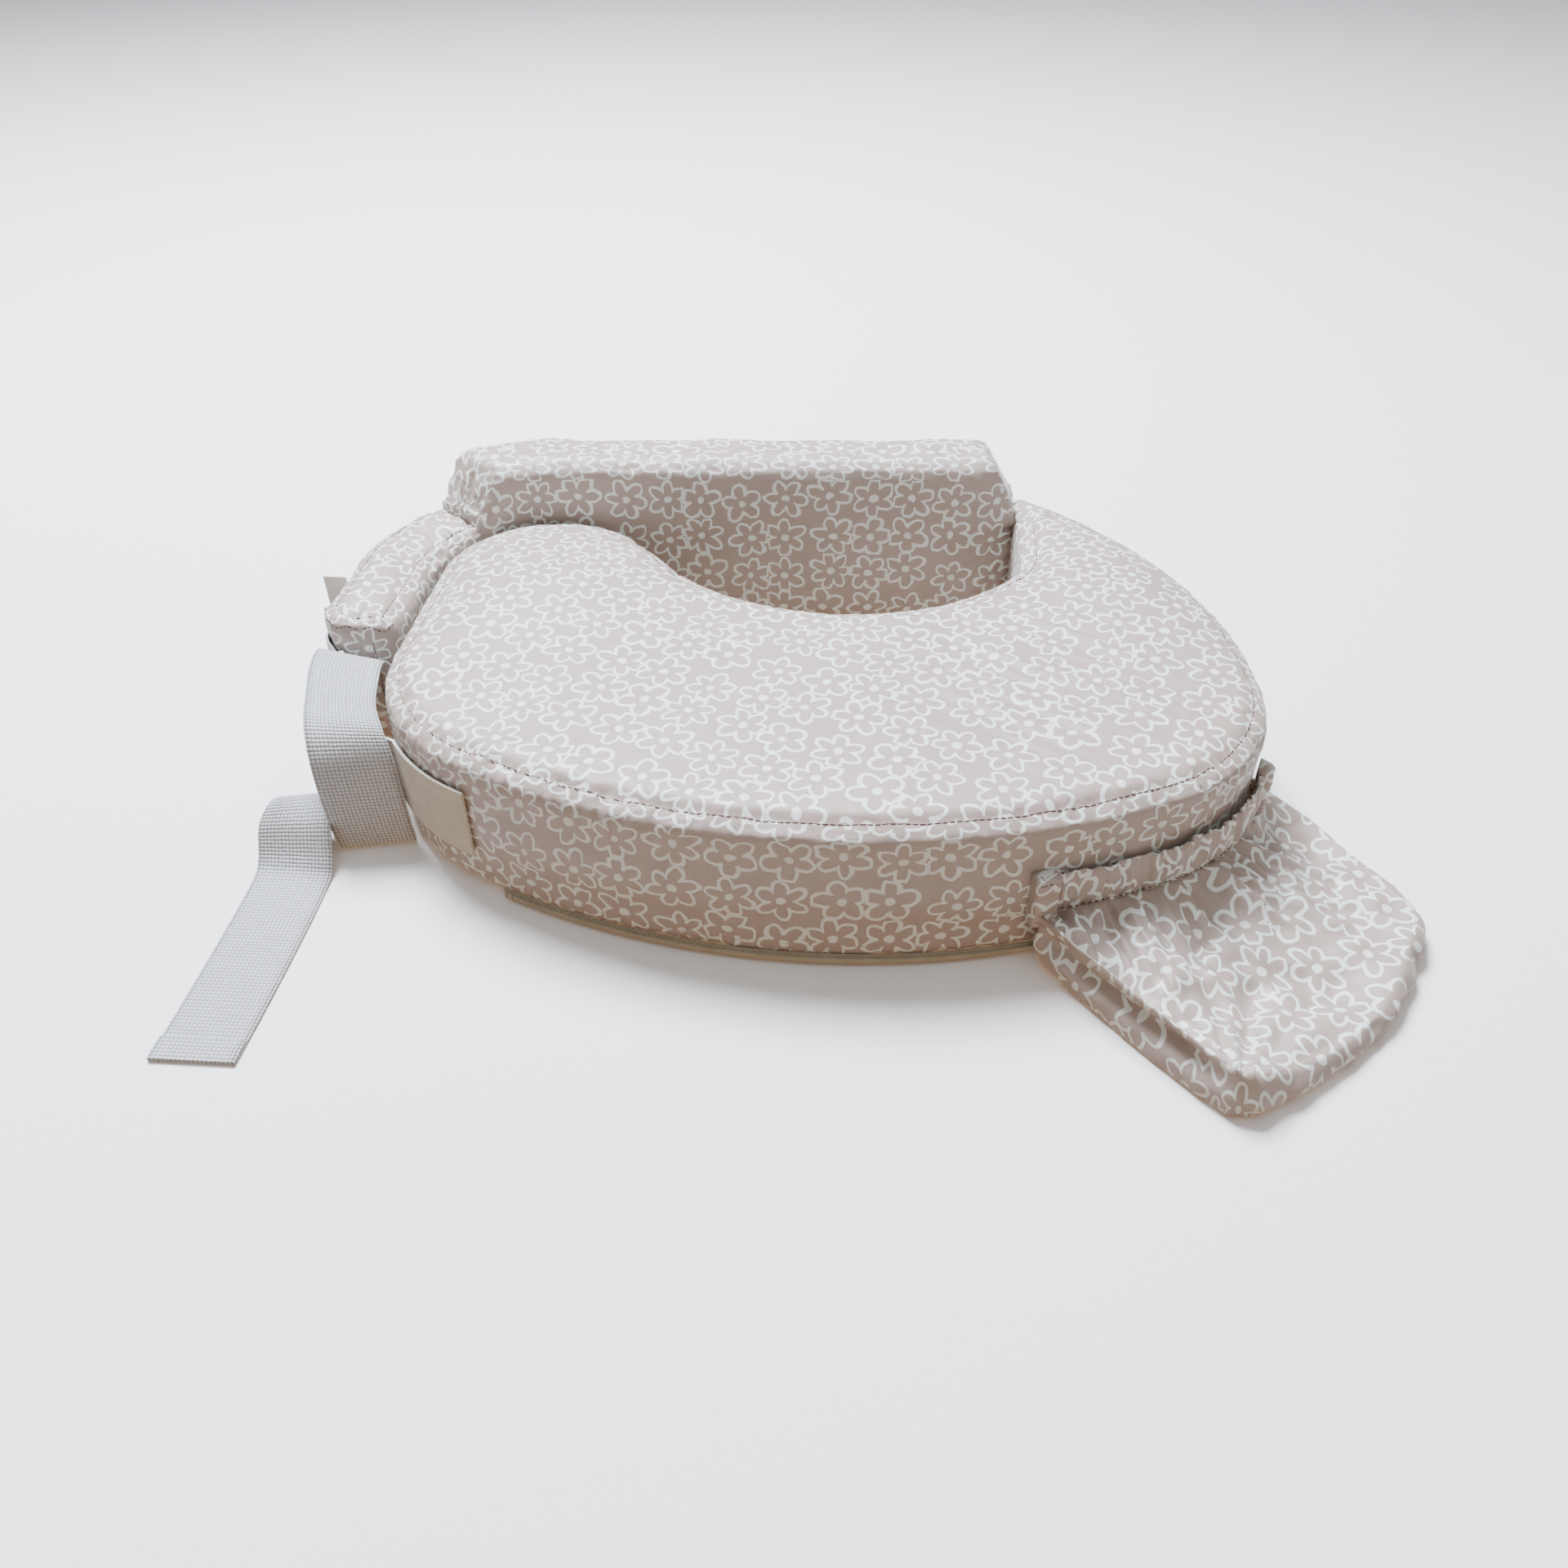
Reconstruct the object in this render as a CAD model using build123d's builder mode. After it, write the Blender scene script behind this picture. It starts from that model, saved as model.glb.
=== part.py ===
from build123d import *
import os
from math import asin, acos, atan2, cos, degrees, hypot, radians, sin, sqrt

# A wrap-around nursing pillow: a firm foam shelf with a lobe at its left and an arm at its right,
# a taller back rest behind the wearer, and a left arm that closes the ring beside the lobe.
# Millimetres. The origin is on the floor under the middle of the shelf's front curve, +X to the
# wearer's left-hand side of the shelf, +Y towards the back rest, +Z up.

os.makedirs("parts", exist_ok=True)

# ---------------------------------------------------------------- driving dimensions
shelf_height = 105.0
back_height = 147.0

half_width = 288.0          # shelf, from its middle to either side
front_radius = 470.0        # shallow curve of the front
side_radius = 132.0         # quick curves either side of it
right_radius = 315.0        # outside of the right arm
lobe_radius = 82.0          # round left end of the shelf
lobe_centre_y = 105.0
belly_radius = 165.0        # the hollow that takes the wearer's waist
belly_centre_x = 5.0
belly_centre_y = 240.0
corner_radius = 50.0        # where the hollow turns up into the right arm
arm_inner_x = 141.0         # inside face of the right arm
bend_radius = 200.0         # its slight bend where it meets the back rest

crevice = 7.0               # lobe to left arm
wrap_thickness = 58.0       # back rest and left arm, front to back
back_angle = 4.5            # the back rest runs a little further back at its right end
left_hinge_angle = 137.0    # where the back rest steps down to the left arm, about the lobe
end_lean = 26.0             # slope of the back rest's two ends, above the arms
arm_end_y = 24.0            # free end of the left arm
arm_outer_corner = 26.0
arm_inner_corner = 10.0

edge_roll = 12.0            # rounded top edges; the top panel's seam is where they start
cloth = 1.3                 # cover
ease = 0.2                  # foam to cover
hinge_gap = 0.5             # each side of a fabric hinge

zip_width = 7.6             # tape that shows between the side band and the base
zip_base = 1.6
zip_left_angle = -24.0      # ends of the zip, about the front curve's centre
zip_right_angle = 24.0
zip_park_angle = 21.4       # slider, closed
coil_width = 3.4
coil_depth = 1.4
slider_length = 11.0
slider_plate = 1.2
slider_clear = 0.15
pull_length = 15.0
pull_width = 6.4
pull_thickness = 1.5
pull_pin_radius = 0.8
running_clear = 0.1

webbing_width = 50.0
webbing_thickness = 1.8
strap_height = 55.0         # middle of the strap, which runs on edge round the ring
anchor_start_angle = 243.8  # sewn end, about the front curve's centre
anchor_end_angle = 214.0    # where it leaves the wall, about the left-hand side curve's centre
arm_strap_start_y = 88.0    # sewn end on the left arm
arm_strap_turn = 42.0       # how far it turns round the arm's corner

buckle_start = (-336.0, 17.0)
buckle_heading = -60.0      # from the arm down to the shelf's wall
buckle_width = 61.0
buckle_thickness = 13.0
buckle_edge = 2.0
socket_length = 42.0
socket_wall = 2.3
prong_length = 26.0
prong_height = 7.0
prong_width = 4.6
prong_head = 8.0
prong_clear = 0.4
prong_gap = 2.0             # prong tips to socket mouth, unclipped
frame_length = 23.0         # ladder-lock end of the prong half
frame_thickness = 9.0
bar_width = 4.0
slot_width = 5.2
strap_slack = 1.0           # each end of the webbing slots

pocket_cloth = 1.6
pocket_mouth = 8.0          # shelf wall to hem
hem_depth = 4.0
hem_top = 68.0
hem_bottom = 44.0
elastic_width = 16.0
elastic_thickness = 1.0
pocket_foot = 25.0          # height at which the bag leaves the wall
pocket_reach = 40.0         # how far from the wall it meets the floor
pocket_brim = 12.0          # height of the bag's outer edge
pocket_left_angle = -73.2   # about the front curve's centre
pocket_right_angle = -17.0  # about the right-hand side curve's centre
binding_width = 16.0
against_wall = 0.3

tail_top = 89.0             # loose end, draped over the buckle
tail_over = [(-346.0, 6.0), (-295.0, -8.0), (-270.0, -79.0), (-318.0, -91.0)]
tail_turn = [(-356.0, -106.0), (-305.0, -106.0), (-300.0, -87.5), (-318.0, -84.0), (-350.0, -84.0)]
tail_arch_height = 34.0
tail_arch_slope = 14.0
tail_run_x = -330.0         # where it lies flat
tail_run_start = -104.0
tail_run_end = -275.0

label_width = 17.0
label_height = 50.0
label_thickness = 1.0
label_y = 76.0
label_bottom = 48.0

# ---------------------------------------------------------------- places worked out from them
side_centre_x = half_width - side_radius
front_centre_y = sqrt((front_radius - side_radius) ** 2 - side_centre_x**2)
front_half_angle = degrees(asin(side_centre_x / (front_radius - side_radius)))
right_centre_x = half_width - right_radius
lobe_centre_x = lobe_radius - half_width
wrap_inner = lobe_radius + crevice
wrap_outer = wrap_inner + wrap_thickness
corner_centre_x = arm_inner_x - corner_radius
corner_centre_y = belly_centre_y - sqrt(
    (belly_radius - corner_radius) ** 2 - (corner_centre_x - belly_centre_x) ** 2
)
corner_angle = degrees(atan2(corner_centre_y - belly_centre_y, corner_centre_x - belly_centre_x))


def on_circle(x, y, radius, angle):
    return (x + radius * cos(radians(angle)), y + radius * sin(radians(angle)))


def along_back(u, v):
    """A point u along the back rest from the lobe's centre and v behind it."""
    c, s = cos(radians(back_angle)), sin(radians(back_angle))
    return (lobe_centre_x + u * c - v * s, lobe_centre_y + u * s + v * c)


# the right fabric hinge stands square to the back rest at the arm's inside face
hinge_u = (arm_inner_x - lobe_centre_x + wrap_inner * sin(radians(back_angle))) / cos(
    radians(back_angle)
) - hinge_gap

# where the arm's inside face starts its slight bend to lie along that hinge
bend_y = lobe_centre_y + (
    hinge_u
    + hinge_gap
    - bend_radius
    - (arm_inner_x - bend_radius - lobe_centre_x) * cos(radians(back_angle))
) / sin(radians(back_angle))


def right_curve_v(u, inset=0.0):
    """How far behind the lobe's centre the right arm's outside curve lies at u."""
    x, y = along_back(u, 0)
    c, s = cos(radians(back_angle)), sin(radians(back_angle))
    dx, dy = x - right_centre_x, y
    along = dx * -s + dy * c
    return -along + sqrt((right_radius - inset) ** 2 - dx * dx - dy * dy + along * along)


def right_curve_u(v, inset=0.0):
    """How far along the back rest the right arm's outside curve lies at v."""
    x, y = along_back(0, v)
    c, s = cos(radians(back_angle)), sin(radians(back_angle))
    dx, dy = x - right_centre_x, y
    along = dx * c + dy * s
    return -along + sqrt((right_radius - inset) ** 2 - dx * dx - dy * dy + along * along)


right_pivot = along_back(hinge_u, right_curve_v(hinge_u))
left_pivot = on_circle(lobe_centre_x, lobe_centre_y, wrap_outer, left_hinge_angle)

right_hinge_plane = Plane(
    origin=(*along_back(hinge_u, 0), 0),
    x_dir=(0, 0, 1),
    z_dir=(cos(radians(back_angle)), sin(radians(back_angle)), 0),
)
left_hinge_plane = Plane(
    origin=(*left_pivot, 0),
    x_dir=(0, 0, 1),
    z_dir=(-sin(radians(left_hinge_angle)), cos(radians(left_hinge_angle)), 0),
)


def leaning(plane, inset):
    """A hinge plane tipped back over the rest above the arms' height, outward normal kept."""
    n = plane.z_dir * cos(radians(end_lean)) + Vector(0, 0, 1) * sin(radians(end_lean))
    origin = plane.origin + Vector(0, 0, shelf_height)
    return Plane(origin=origin - n * inset, x_dir=plane.y_dir, z_dir=n)


def off_plane(plane, inset):
    return lambda edge: abs(plane.to_local_coords(edge.center()).Z) > 2 * hinge_gap + inset


# ---------------------------------------------------------------- outlines and solid forms
def shelf_outline(inset):
    """The shelf in plan. Every centre stays put; the radii take the inset."""
    centre_gap = hypot(belly_centre_x - lobe_centre_x, belly_centre_y - lobe_centre_y)
    towards = degrees(atan2(belly_centre_y - lobe_centre_y, belly_centre_x - lobe_centre_x))
    off = degrees(acos((lobe_radius + belly_radius) / centre_gap))
    lobe_end = towards + off
    belly_start = lobe_end + 180
    lobe, belly = lobe_radius - inset, belly_radius + inset
    front, side, right = front_radius - inset, side_radius - inset, right_radius - inset
    inner_x = arm_inner_x + inset
    end_u = hinge_u + hinge_gap
    outer_end = along_back(end_u + inset, right_curve_v(end_u + inset, inset))
    outer_angle = degrees(atan2(outer_end[1], outer_end[0] - right_centre_x))
    with BuildSketch() as outline:
        with BuildLine():
            Line((inset - half_width, 0), (inset - half_width, lobe_centre_y))
            CenterArc((lobe_centre_x, lobe_centre_y), lobe, 180, lobe_end - 180)
            Line(
                on_circle(lobe_centre_x, lobe_centre_y, lobe, lobe_end),
                on_circle(belly_centre_x, belly_centre_y, belly, belly_start),
            )
            CenterArc(
                (belly_centre_x, belly_centre_y),
                belly,
                belly_start,
                360 + corner_angle - belly_start,
            )
            CenterArc(
                (corner_centre_x, corner_centre_y),
                corner_radius + inset,
                corner_angle,
                -corner_angle,
            )
            Line((inner_x, corner_centre_y), (inner_x, bend_y))
            CenterArc((arm_inner_x - bend_radius, bend_y), bend_radius + inset, 0, back_angle)
            Line(
                on_circle(arm_inner_x - bend_radius, bend_y, bend_radius + inset, back_angle),
                outer_end,
            )
            CenterArc((right_centre_x, 0), right, outer_angle, -outer_angle)
            CenterArc((side_centre_x, 0), side, 0, front_half_angle - 90)
            CenterArc((0, front_centre_y), front, front_half_angle - 90, -2 * front_half_angle)
            CenterArc((-side_centre_x, 0), side, -90 - front_half_angle, front_half_angle - 90)
        make_face()
    return outline.sketch


def back_outline(inset):
    """The back rest in plan, drawn past its left hinge, where a plane cuts it."""
    inner, outer = wrap_inner + inset, wrap_outer - inset
    lobe = (lobe_centre_x, lobe_centre_y)
    start = 90 + back_angle
    sweep = left_hinge_angle + 5 - start
    end_u = hinge_u - hinge_gap - inset
    curve_u = right_curve_u(outer, inset)
    rear_end = along_back(curve_u, outer)
    right_end = along_back(end_u, right_curve_v(end_u, inset))
    first = degrees(atan2(rear_end[1], rear_end[0] - right_centre_x))
    last = degrees(atan2(right_end[1], right_end[0] - right_centre_x))
    with BuildSketch() as outline:
        with BuildLine():
            Line(along_back(end_u, inner), along_back(0, inner))
            CenterArc(lobe, inner, start, sweep)
            Line(on_circle(*lobe, inner, start + sweep), on_circle(*lobe, outer, start + sweep))
            CenterArc(lobe, outer, start + sweep, -sweep)
            Line(along_back(0, outer), rear_end)
            CenterArc((right_centre_x, 0), right_radius - inset, first, last - first)
            Line(right_end, along_back(end_u, inner))
        make_face()
    return outline.sketch


def arm_outline(inset):
    """The left arm in plan, drawn past its hinge, where a plane cuts it."""
    inner, outer = wrap_inner + inset, wrap_outer - inset
    lobe = (lobe_centre_x, lobe_centre_y)
    start = left_hinge_angle - 5
    end_y = arm_end_y + inset
    with BuildSketch() as outline:
        with BuildLine():
            Line((lobe_centre_x - inner, end_y), (lobe_centre_x - inner, lobe_centre_y))
            CenterArc(lobe, inner, 180, start - 180)
            Line(on_circle(*lobe, inner, start), on_circle(*lobe, outer, start))
            CenterArc(lobe, outer, start, 180 - start)
            Line((lobe_centre_x - outer, lobe_centre_y), (lobe_centre_x - outer, end_y))
            Line((lobe_centre_x - outer, end_y), (lobe_centre_x - inner, end_y))
        make_face()
        corners = outline.vertices().group_by(Axis.Y)[0].sort_by(Axis.X)
        fillet(corners[0], arm_outer_corner - inset)
        fillet(corners[1], arm_inner_corner - inset)
    return outline.sketch


def shelf_form(inset):
    with BuildPart() as form:
        with BuildSketch(Plane.XY.offset(inset)):
            add(shelf_outline(inset))
        extrude(amount=shelf_height - 2 * inset)
        rim = form.faces().sort_by(Axis.Z)[-1].edges().filter_by(off_plane(right_hinge_plane, inset))
        fillet(rim.filter_by(lambda e: e.length > 2 * edge_roll), edge_roll - inset)
    return form.part


def back_form(inset):
    cut = left_hinge_plane.offset(-hinge_gap - inset)
    with BuildPart() as form:
        with BuildSketch(Plane.XY.offset(inset)):
            add(back_outline(inset))
        extrude(amount=back_height - 2 * inset)
        split(bisect_by=cut, keep=Keep.BOTTOM)
        split(bisect_by=leaning(left_hinge_plane, inset), keep=Keep.BOTTOM)
        split(bisect_by=leaning(right_hinge_plane, inset), keep=Keep.BOTTOM)
        rim = form.faces().sort_by(Axis.Z)[-1].edges()
        fillet(rim.filter_by(lambda e: e.length > wrap_thickness + 2), edge_roll - inset)
    return form.part


def arm_form(inset):
    cut = left_hinge_plane.offset(hinge_gap + inset)
    with BuildPart() as form:
        with BuildSketch(Plane.XY.offset(inset)):
            add(arm_outline(inset))
        extrude(amount=shelf_height - 2 * inset)
        split(bisect_by=cut, keep=Keep.TOP)
        rim = form.faces().sort_by(Axis.Z)[-1].edges()
        fillet(rim.filter_by(lambda e: abs(cut.to_local_coords(e.center()).Z) > 0.1), edge_roll - inset)
    return form.part


def finish(piece, name):
    piece.part.label = name
    export_step(piece.part, f"parts/{name}.step")


def ring_sector(centre, inner, outer, first, last, bottom, top):
    """A curved bar standing on Z, between two radii and two angles."""
    with BuildPart() as sector:
        with BuildSketch(Plane.XY.offset(bottom)):
            with BuildLine():
                CenterArc(centre, inner, first, last - first)
                Line(on_circle(*centre, inner, last), on_circle(*centre, outer, last))
                CenterArc(centre, outer, last, first - last)
                Line(on_circle(*centre, outer, first), on_circle(*centre, inner, first))
            make_face()
        extrude(amount=top - bottom)
    return sector.part


front_centre = (0, front_centre_y)
right_side_centre = (side_centre_x, 0)
left_side_centre = (-side_centre_x, 0)
front_right_angle = front_half_angle - 90
front_left_angle = -front_half_angle - 90


def along_wall(near, far, first, last):
    """A strip beside the shelf's right front wall, from the front curve onto the side curve."""
    with BuildSketch() as strip:
        with BuildLine():
            CenterArc(front_centre, front_radius + near, first, front_right_angle - first)
            CenterArc(right_side_centre, side_radius + near, front_right_angle, last - front_right_angle)
            Line(
                on_circle(*right_side_centre, side_radius + near, last),
                on_circle(*right_side_centre, side_radius + far, last),
            )
            CenterArc(right_side_centre, side_radius + far, last, front_right_angle - last)
            CenterArc(front_centre, front_radius + far, front_right_angle, first - front_right_angle)
            Line(
                on_circle(*front_centre, front_radius + far, first),
                on_circle(*front_centre, front_radius + near, first),
            )
        make_face()
    return strip.sketch


# ---------------------------------------------------------------- foam
with BuildPart() as shelf_foam:
    add(shelf_form(cloth + ease))
finish(shelf_foam, "shelf_foam")

with BuildPart() as back_foam:
    add(back_form(cloth + ease))
finish(back_foam, "back_foam")

with BuildPart() as arm_foam:
    add(arm_form(cloth + ease))
finish(arm_foam, "arm_foam")

# ---------------------------------------------------------------- shelf cover
with BuildPart() as shelf_cover:
    add(shelf_form(0))
    add(shelf_form(cloth), mode=Mode.SUBTRACT)

with BuildPart() as shelf_top_panel:
    add(shelf_cover.part)
    with BuildSketch(Plane.XY.offset(shelf_height / 2)):
        add(shelf_outline(edge_roll))
    extrude(amount=shelf_height, mode=Mode.INTERSECT)
finish(shelf_top_panel, "shelf_top_panel")

with BuildPart() as shelf_base_panel:
    with BuildSketch():
        add(shelf_outline(0))
    extrude(amount=cloth)
finish(shelf_base_panel, "shelf_base_panel")

zip_top = zip_base + zip_width
zip_left, zip_right = zip_left_angle - 90, zip_right_angle - 90

with BuildPart() as shelf_band:
    add(shelf_cover.part)
    add(shelf_top_panel.part, mode=Mode.SUBTRACT)
    add(shelf_base_panel.part, mode=Mode.SUBTRACT)
    add(
        ring_sector(
            front_centre, front_radius - 2 * cloth, front_radius + cloth, zip_left, zip_right, cloth, zip_top
        ),
        mode=Mode.SUBTRACT,
    )

# the band's inner length lines the waist hollow; it is sewn to the outer length at the lobe's back
# and at the right arm's outside corner
with BuildPart() as waist_side:
    with BuildSketch():
        with BuildLine():
            Polyline(
                (lobe_centre_x, lobe_centre_y),
                on_circle(lobe_centre_x, lobe_centre_y, 3 * lobe_radius, left_hinge_angle),
                along_back(hinge_u - wrap_thickness, wrap_outer - edge_roll / 2),
                along_back(hinge_u + edge_roll, wrap_outer - edge_roll / 2),
                (arm_inner_x + 4 * edge_roll, corner_centre_y),
                on_circle(belly_centre_x, belly_centre_y, belly_radius + 4 * edge_roll, corner_angle),
                (belly_centre_x, belly_centre_y - belly_radius - 4 * edge_roll),
                close=True,
            )
        make_face()
    extrude(amount=shelf_height)

with BuildPart() as shelf_inner_band:
    add(shelf_band.part)
    add(waist_side.part, mode=Mode.INTERSECT)
finish(shelf_inner_band, "shelf_inner_band")

with BuildPart() as shelf_outer_band:
    add(shelf_band.part)
    add(waist_side.part, mode=Mode.SUBTRACT)
finish(shelf_outer_band, "shelf_outer_band")

# ---------------------------------------------------------------- back rest and left arm covers
wrap_middle = (wrap_inner + wrap_outer) / 2
with BuildPart() as wearer_side:
    with BuildSketch():
        with Locations((lobe_centre_x, lobe_centre_y)):
            Circle(wrap_middle)
        with BuildLine():
            Polyline(
                along_back(0, 0),
                along_back(0, wrap_middle),
                along_back(hinge_u, wrap_middle),
                along_back(hinge_u, 0),
                close=True,
            )
        make_face()
        with BuildLine():
            Polyline(
                (lobe_centre_x - wrap_middle, lobe_centre_y),
                (lobe_centre_x, lobe_centre_y),
                (lobe_centre_x, 0),
                (lobe_centre_x - wrap_middle, 0),
                close=True,
            )
        make_face()
    extrude(amount=back_height)


def cover_pieces(form, height):
    """Top, wearer's side, outside and base of a cushion's cover, cut along its seams."""
    with BuildPart() as cover:
        add(form(0))
        add(form(cloth), mode=Mode.SUBTRACT)
    with BuildPart() as above:
        with BuildSketch(Plane.XY.offset(height - edge_roll)):
            Rectangle(4 * half_width, 4 * half_width)
        extrude(amount=2 * edge_roll)
    with BuildPart() as below:
        with BuildSketch():
            Rectangle(4 * half_width, 4 * half_width)
        extrude(amount=cloth)
    with BuildPart() as top:
        add(cover.part)
        add(above.part, mode=Mode.INTERSECT)
    with BuildPart() as base:
        add(form(0))
        add(below.part, mode=Mode.INTERSECT)
    with BuildPart() as walls:
        add(cover.part)
        add(above.part, mode=Mode.SUBTRACT)
        add(below.part, mode=Mode.SUBTRACT)
    return top, base, walls


back_top_panel, back_base_panel, back_walls = cover_pieces(back_form, back_height)
finish(back_top_panel, "back_top_panel")
finish(back_base_panel, "back_base_panel")

with BuildPart() as back_inner_wall:
    add(back_walls.part)
    add(wearer_side.part, mode=Mode.INTERSECT)
finish(back_inner_wall, "back_inner_wall")

with BuildPart() as back_outer_wall:
    add(back_walls.part)
    add(wearer_side.part, mode=Mode.SUBTRACT)
finish(back_outer_wall, "back_outer_wall")

arm_top_panel, arm_base_panel, arm_walls = cover_pieces(arm_form, shelf_height)
finish(arm_top_panel, "arm_top_panel")
finish(arm_base_panel, "arm_base_panel")

with BuildPart() as arm_end_side:
    with BuildSketch():
        with Locations((lobe_centre_x - wrap_middle, arm_end_y)):
            Rectangle(2 * wrap_thickness, 2 * arm_inner_corner)
    extrude(amount=back_height)

with BuildPart() as arm_end_panel:
    add(arm_walls.part)
    add(arm_end_side.part, mode=Mode.INTERSECT)
finish(arm_end_panel, "arm_end_panel")

with BuildPart() as arm_inner_wall:
    add(arm_walls.part)
    add(arm_end_side.part, mode=Mode.SUBTRACT)
    add(wearer_side.part, mode=Mode.INTERSECT)
finish(arm_inner_wall, "arm_inner_wall")

with BuildPart() as arm_outer_wall:
    add(arm_walls.part)
    add(arm_end_side.part, mode=Mode.SUBTRACT)
    add(wearer_side.part, mode=Mode.SUBTRACT)
finish(arm_outer_wall, "arm_outer_wall")

# ---------------------------------------------------------------- zip along the shelf's front foot
zip_middle = (zip_base + zip_top) / 2
with BuildPart() as zipper_tape:
    add(
        ring_sector(
            front_centre, front_radius - cloth, front_radius, zip_left + 0.1, zip_right - 0.1, zip_base, zip_top - 0.2
        )
    )
finish(zipper_tape, "zipper_tape")

with BuildPart() as zipper_coil:
    add(
        ring_sector(
            front_centre,
            front_radius,
            front_radius + coil_depth,
            zip_left + 1,
            zip_right - 1,
            zip_middle - coil_width / 2,
            zip_middle + coil_width / 2,
        )
    )
finish(zipper_coil, "zipper_coil")

with BuildPart() as zipper_stops:
    for first in (zip_left + 0.6, zip_right - 0.95):
        add(
            ring_sector(
                front_centre,
                front_radius,
                front_radius + coil_depth + 0.5,
                first,
                first + 0.35,
                zip_middle - coil_width / 2 - 0.4,
                zip_middle + coil_width / 2 + 0.4,
            )
        )
finish(zipper_stops, "zipper_stops")

park = zip_park_angle - 90
slider_radius = front_radius + coil_depth + slider_clear
slider_plane = Plane(
    origin=(*on_circle(*front_centre, slider_radius, park), zip_middle),
    x_dir=(-sin(radians(park)), cos(radians(park)), 0),
    z_dir=(cos(radians(park)), sin(radians(park)), 0),
)
slider_half = coil_width / 2 + slider_clear
pin_height = slider_plate + running_clear + pull_pin_radius
bridge_leg = 0.9
bridge_inner = pull_pin_radius + running_clear
bridge_width = 2.2
with BuildPart() as zipper_slider:
    with BuildSketch(slider_plane):
        with BuildLine():
            Polyline(
                (-slider_length / 2, -slider_half - 0.9),
                (0, -slider_half - 1.5),
                (slider_length / 2, -slider_half - 1.5),
                (slider_length / 2, slider_half + 1.5),
                (0, slider_half + 1.5),
                (-slider_length / 2, slider_half + 0.9),
                close=True,
            )
        make_face()
    extrude(amount=slider_plate)
    for side in (-1, 1):
        with BuildSketch(slider_plane):
            with Locations((0, side * (slider_half + 0.45))):
                Rectangle(slider_length, 0.9)
        extrude(amount=-coil_depth)
    with BuildSketch(slider_plane.offset(slider_plate)):
        for side in (-1, 1):
            with Locations((side * (bridge_inner + bridge_leg / 2), 0)):
                Rectangle(bridge_leg, bridge_width)
    extrude(amount=2 * bridge_inner)
    with BuildSketch(slider_plane.offset(slider_plate + 2 * bridge_inner)):
        Rectangle(2 * (bridge_inner + bridge_leg), bridge_width)
    extrude(amount=bridge_leg)
finish(zipper_slider, "zipper_slider")

pull_plane = slider_plane.offset(pin_height)
window_half = bridge_width / 2 + 0.3
with BuildPart() as zipper_pull:
    with BuildSketch(pull_plane.offset(-pull_thickness / 2)):
        with Locations((pull_length / 2, 0)):
            RectangleRounded(pull_length, pull_width, pull_width / 3)
        with Locations((bridge_inner + bridge_leg, 0)):
            Rectangle(2 * (bridge_inner + bridge_leg) + 0.8, 2 * window_half, mode=Mode.SUBTRACT)
        with Locations((pull_length - pull_width / 3, 0)):
            Circle(pull_width / 6, mode=Mode.SUBTRACT)
    extrude(amount=pull_thickness)
    with Locations(pull_plane):
        Cylinder(pull_pin_radius, 2 * window_half + 1.6, rotation=(90, 0, 0))
finish(zipper_pull, "zipper_pull")

# ---------------------------------------------------------------- pocket on the right front wall
hem_left = pocket_left_angle
hem_right = pocket_right_angle
left_binding_angle = degrees(binding_width / front_radius)
right_binding_angle = degrees(binding_width / side_radius)
hem_outer = pocket_mouth + hem_depth
elastic_near = pocket_mouth + (hem_depth - elastic_thickness) / 2
channel_gap = 0.3
elastic_bottom = (hem_top + hem_bottom - elastic_width) / 2

with BuildPart() as pocket_hem:
    with BuildSketch(Plane.XY.offset(hem_bottom)):
        add(along_wall(pocket_mouth, hem_outer, hem_left, hem_right))
    extrude(amount=hem_top - hem_bottom)
    with BuildSketch(Plane.XY.offset(elastic_bottom - channel_gap)):
        add(
            along_wall(
                elastic_near - channel_gap,
                elastic_near + elastic_thickness + channel_gap,
                hem_left,
                hem_right,
            )
        )
    extrude(amount=elastic_width + 2 * channel_gap, mode=Mode.SUBTRACT)
finish(pocket_hem, "pocket_hem")

with BuildPart() as pocket_elastic:
    with BuildSketch(Plane.XY.offset(elastic_bottom)):
        add(along_wall(elastic_near, elastic_near + elastic_thickness, hem_left, hem_right))
    extrude(amount=elastic_width)
finish(pocket_elastic, "pocket_elastic")

with BuildPart() as pocket_bindings:
    add(
        ring_sector(
            front_centre,
            front_radius + against_wall,
            front_radius + hem_outer + 1,
            hem_left - left_binding_angle,
            hem_left - 0.02,
            pocket_foot,
            hem_top,
        )
    )
    add(
        ring_sector(
            right_side_centre,
            side_radius + against_wall,
            side_radius + hem_outer + 1,
            hem_right + 0.05,
            hem_right + right_binding_angle,
            pocket_foot,
            hem_top,
        )
    )
finish(pocket_bindings, "pocket_bindings")


def wall_point(angle, out, front=True):
    centre = front_centre if front else right_side_centre
    return on_circle(*centre, (front_radius if front else side_radius) + out, angle)


# the bag is cut on straight lines: its mouth follows the wall and its foot spreads on the floor
pocket_floor = [
    (176.0, -172.0),
    (237.0, -262.0),
    (331.0, -196.0),
    (375.0, -118.0),
    (330.0, -22.0),
    (250.0, -20.0),
    (190.0, -90.0),
]


def pocket_mouth_points(out):
    return [
        wall_point(hem_left + 0.05, out),
        wall_point((hem_left + front_right_angle) / 2, out),
        wall_point(front_right_angle, out),
        wall_point((front_right_angle + hem_right) / 2, out, front=False),
        wall_point(hem_right - 0.1, out, front=False),
        (side_centre_x + side_radius / 2, -side_radius / 6),
        (side_centre_x, -side_radius / 2),
    ]


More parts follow.
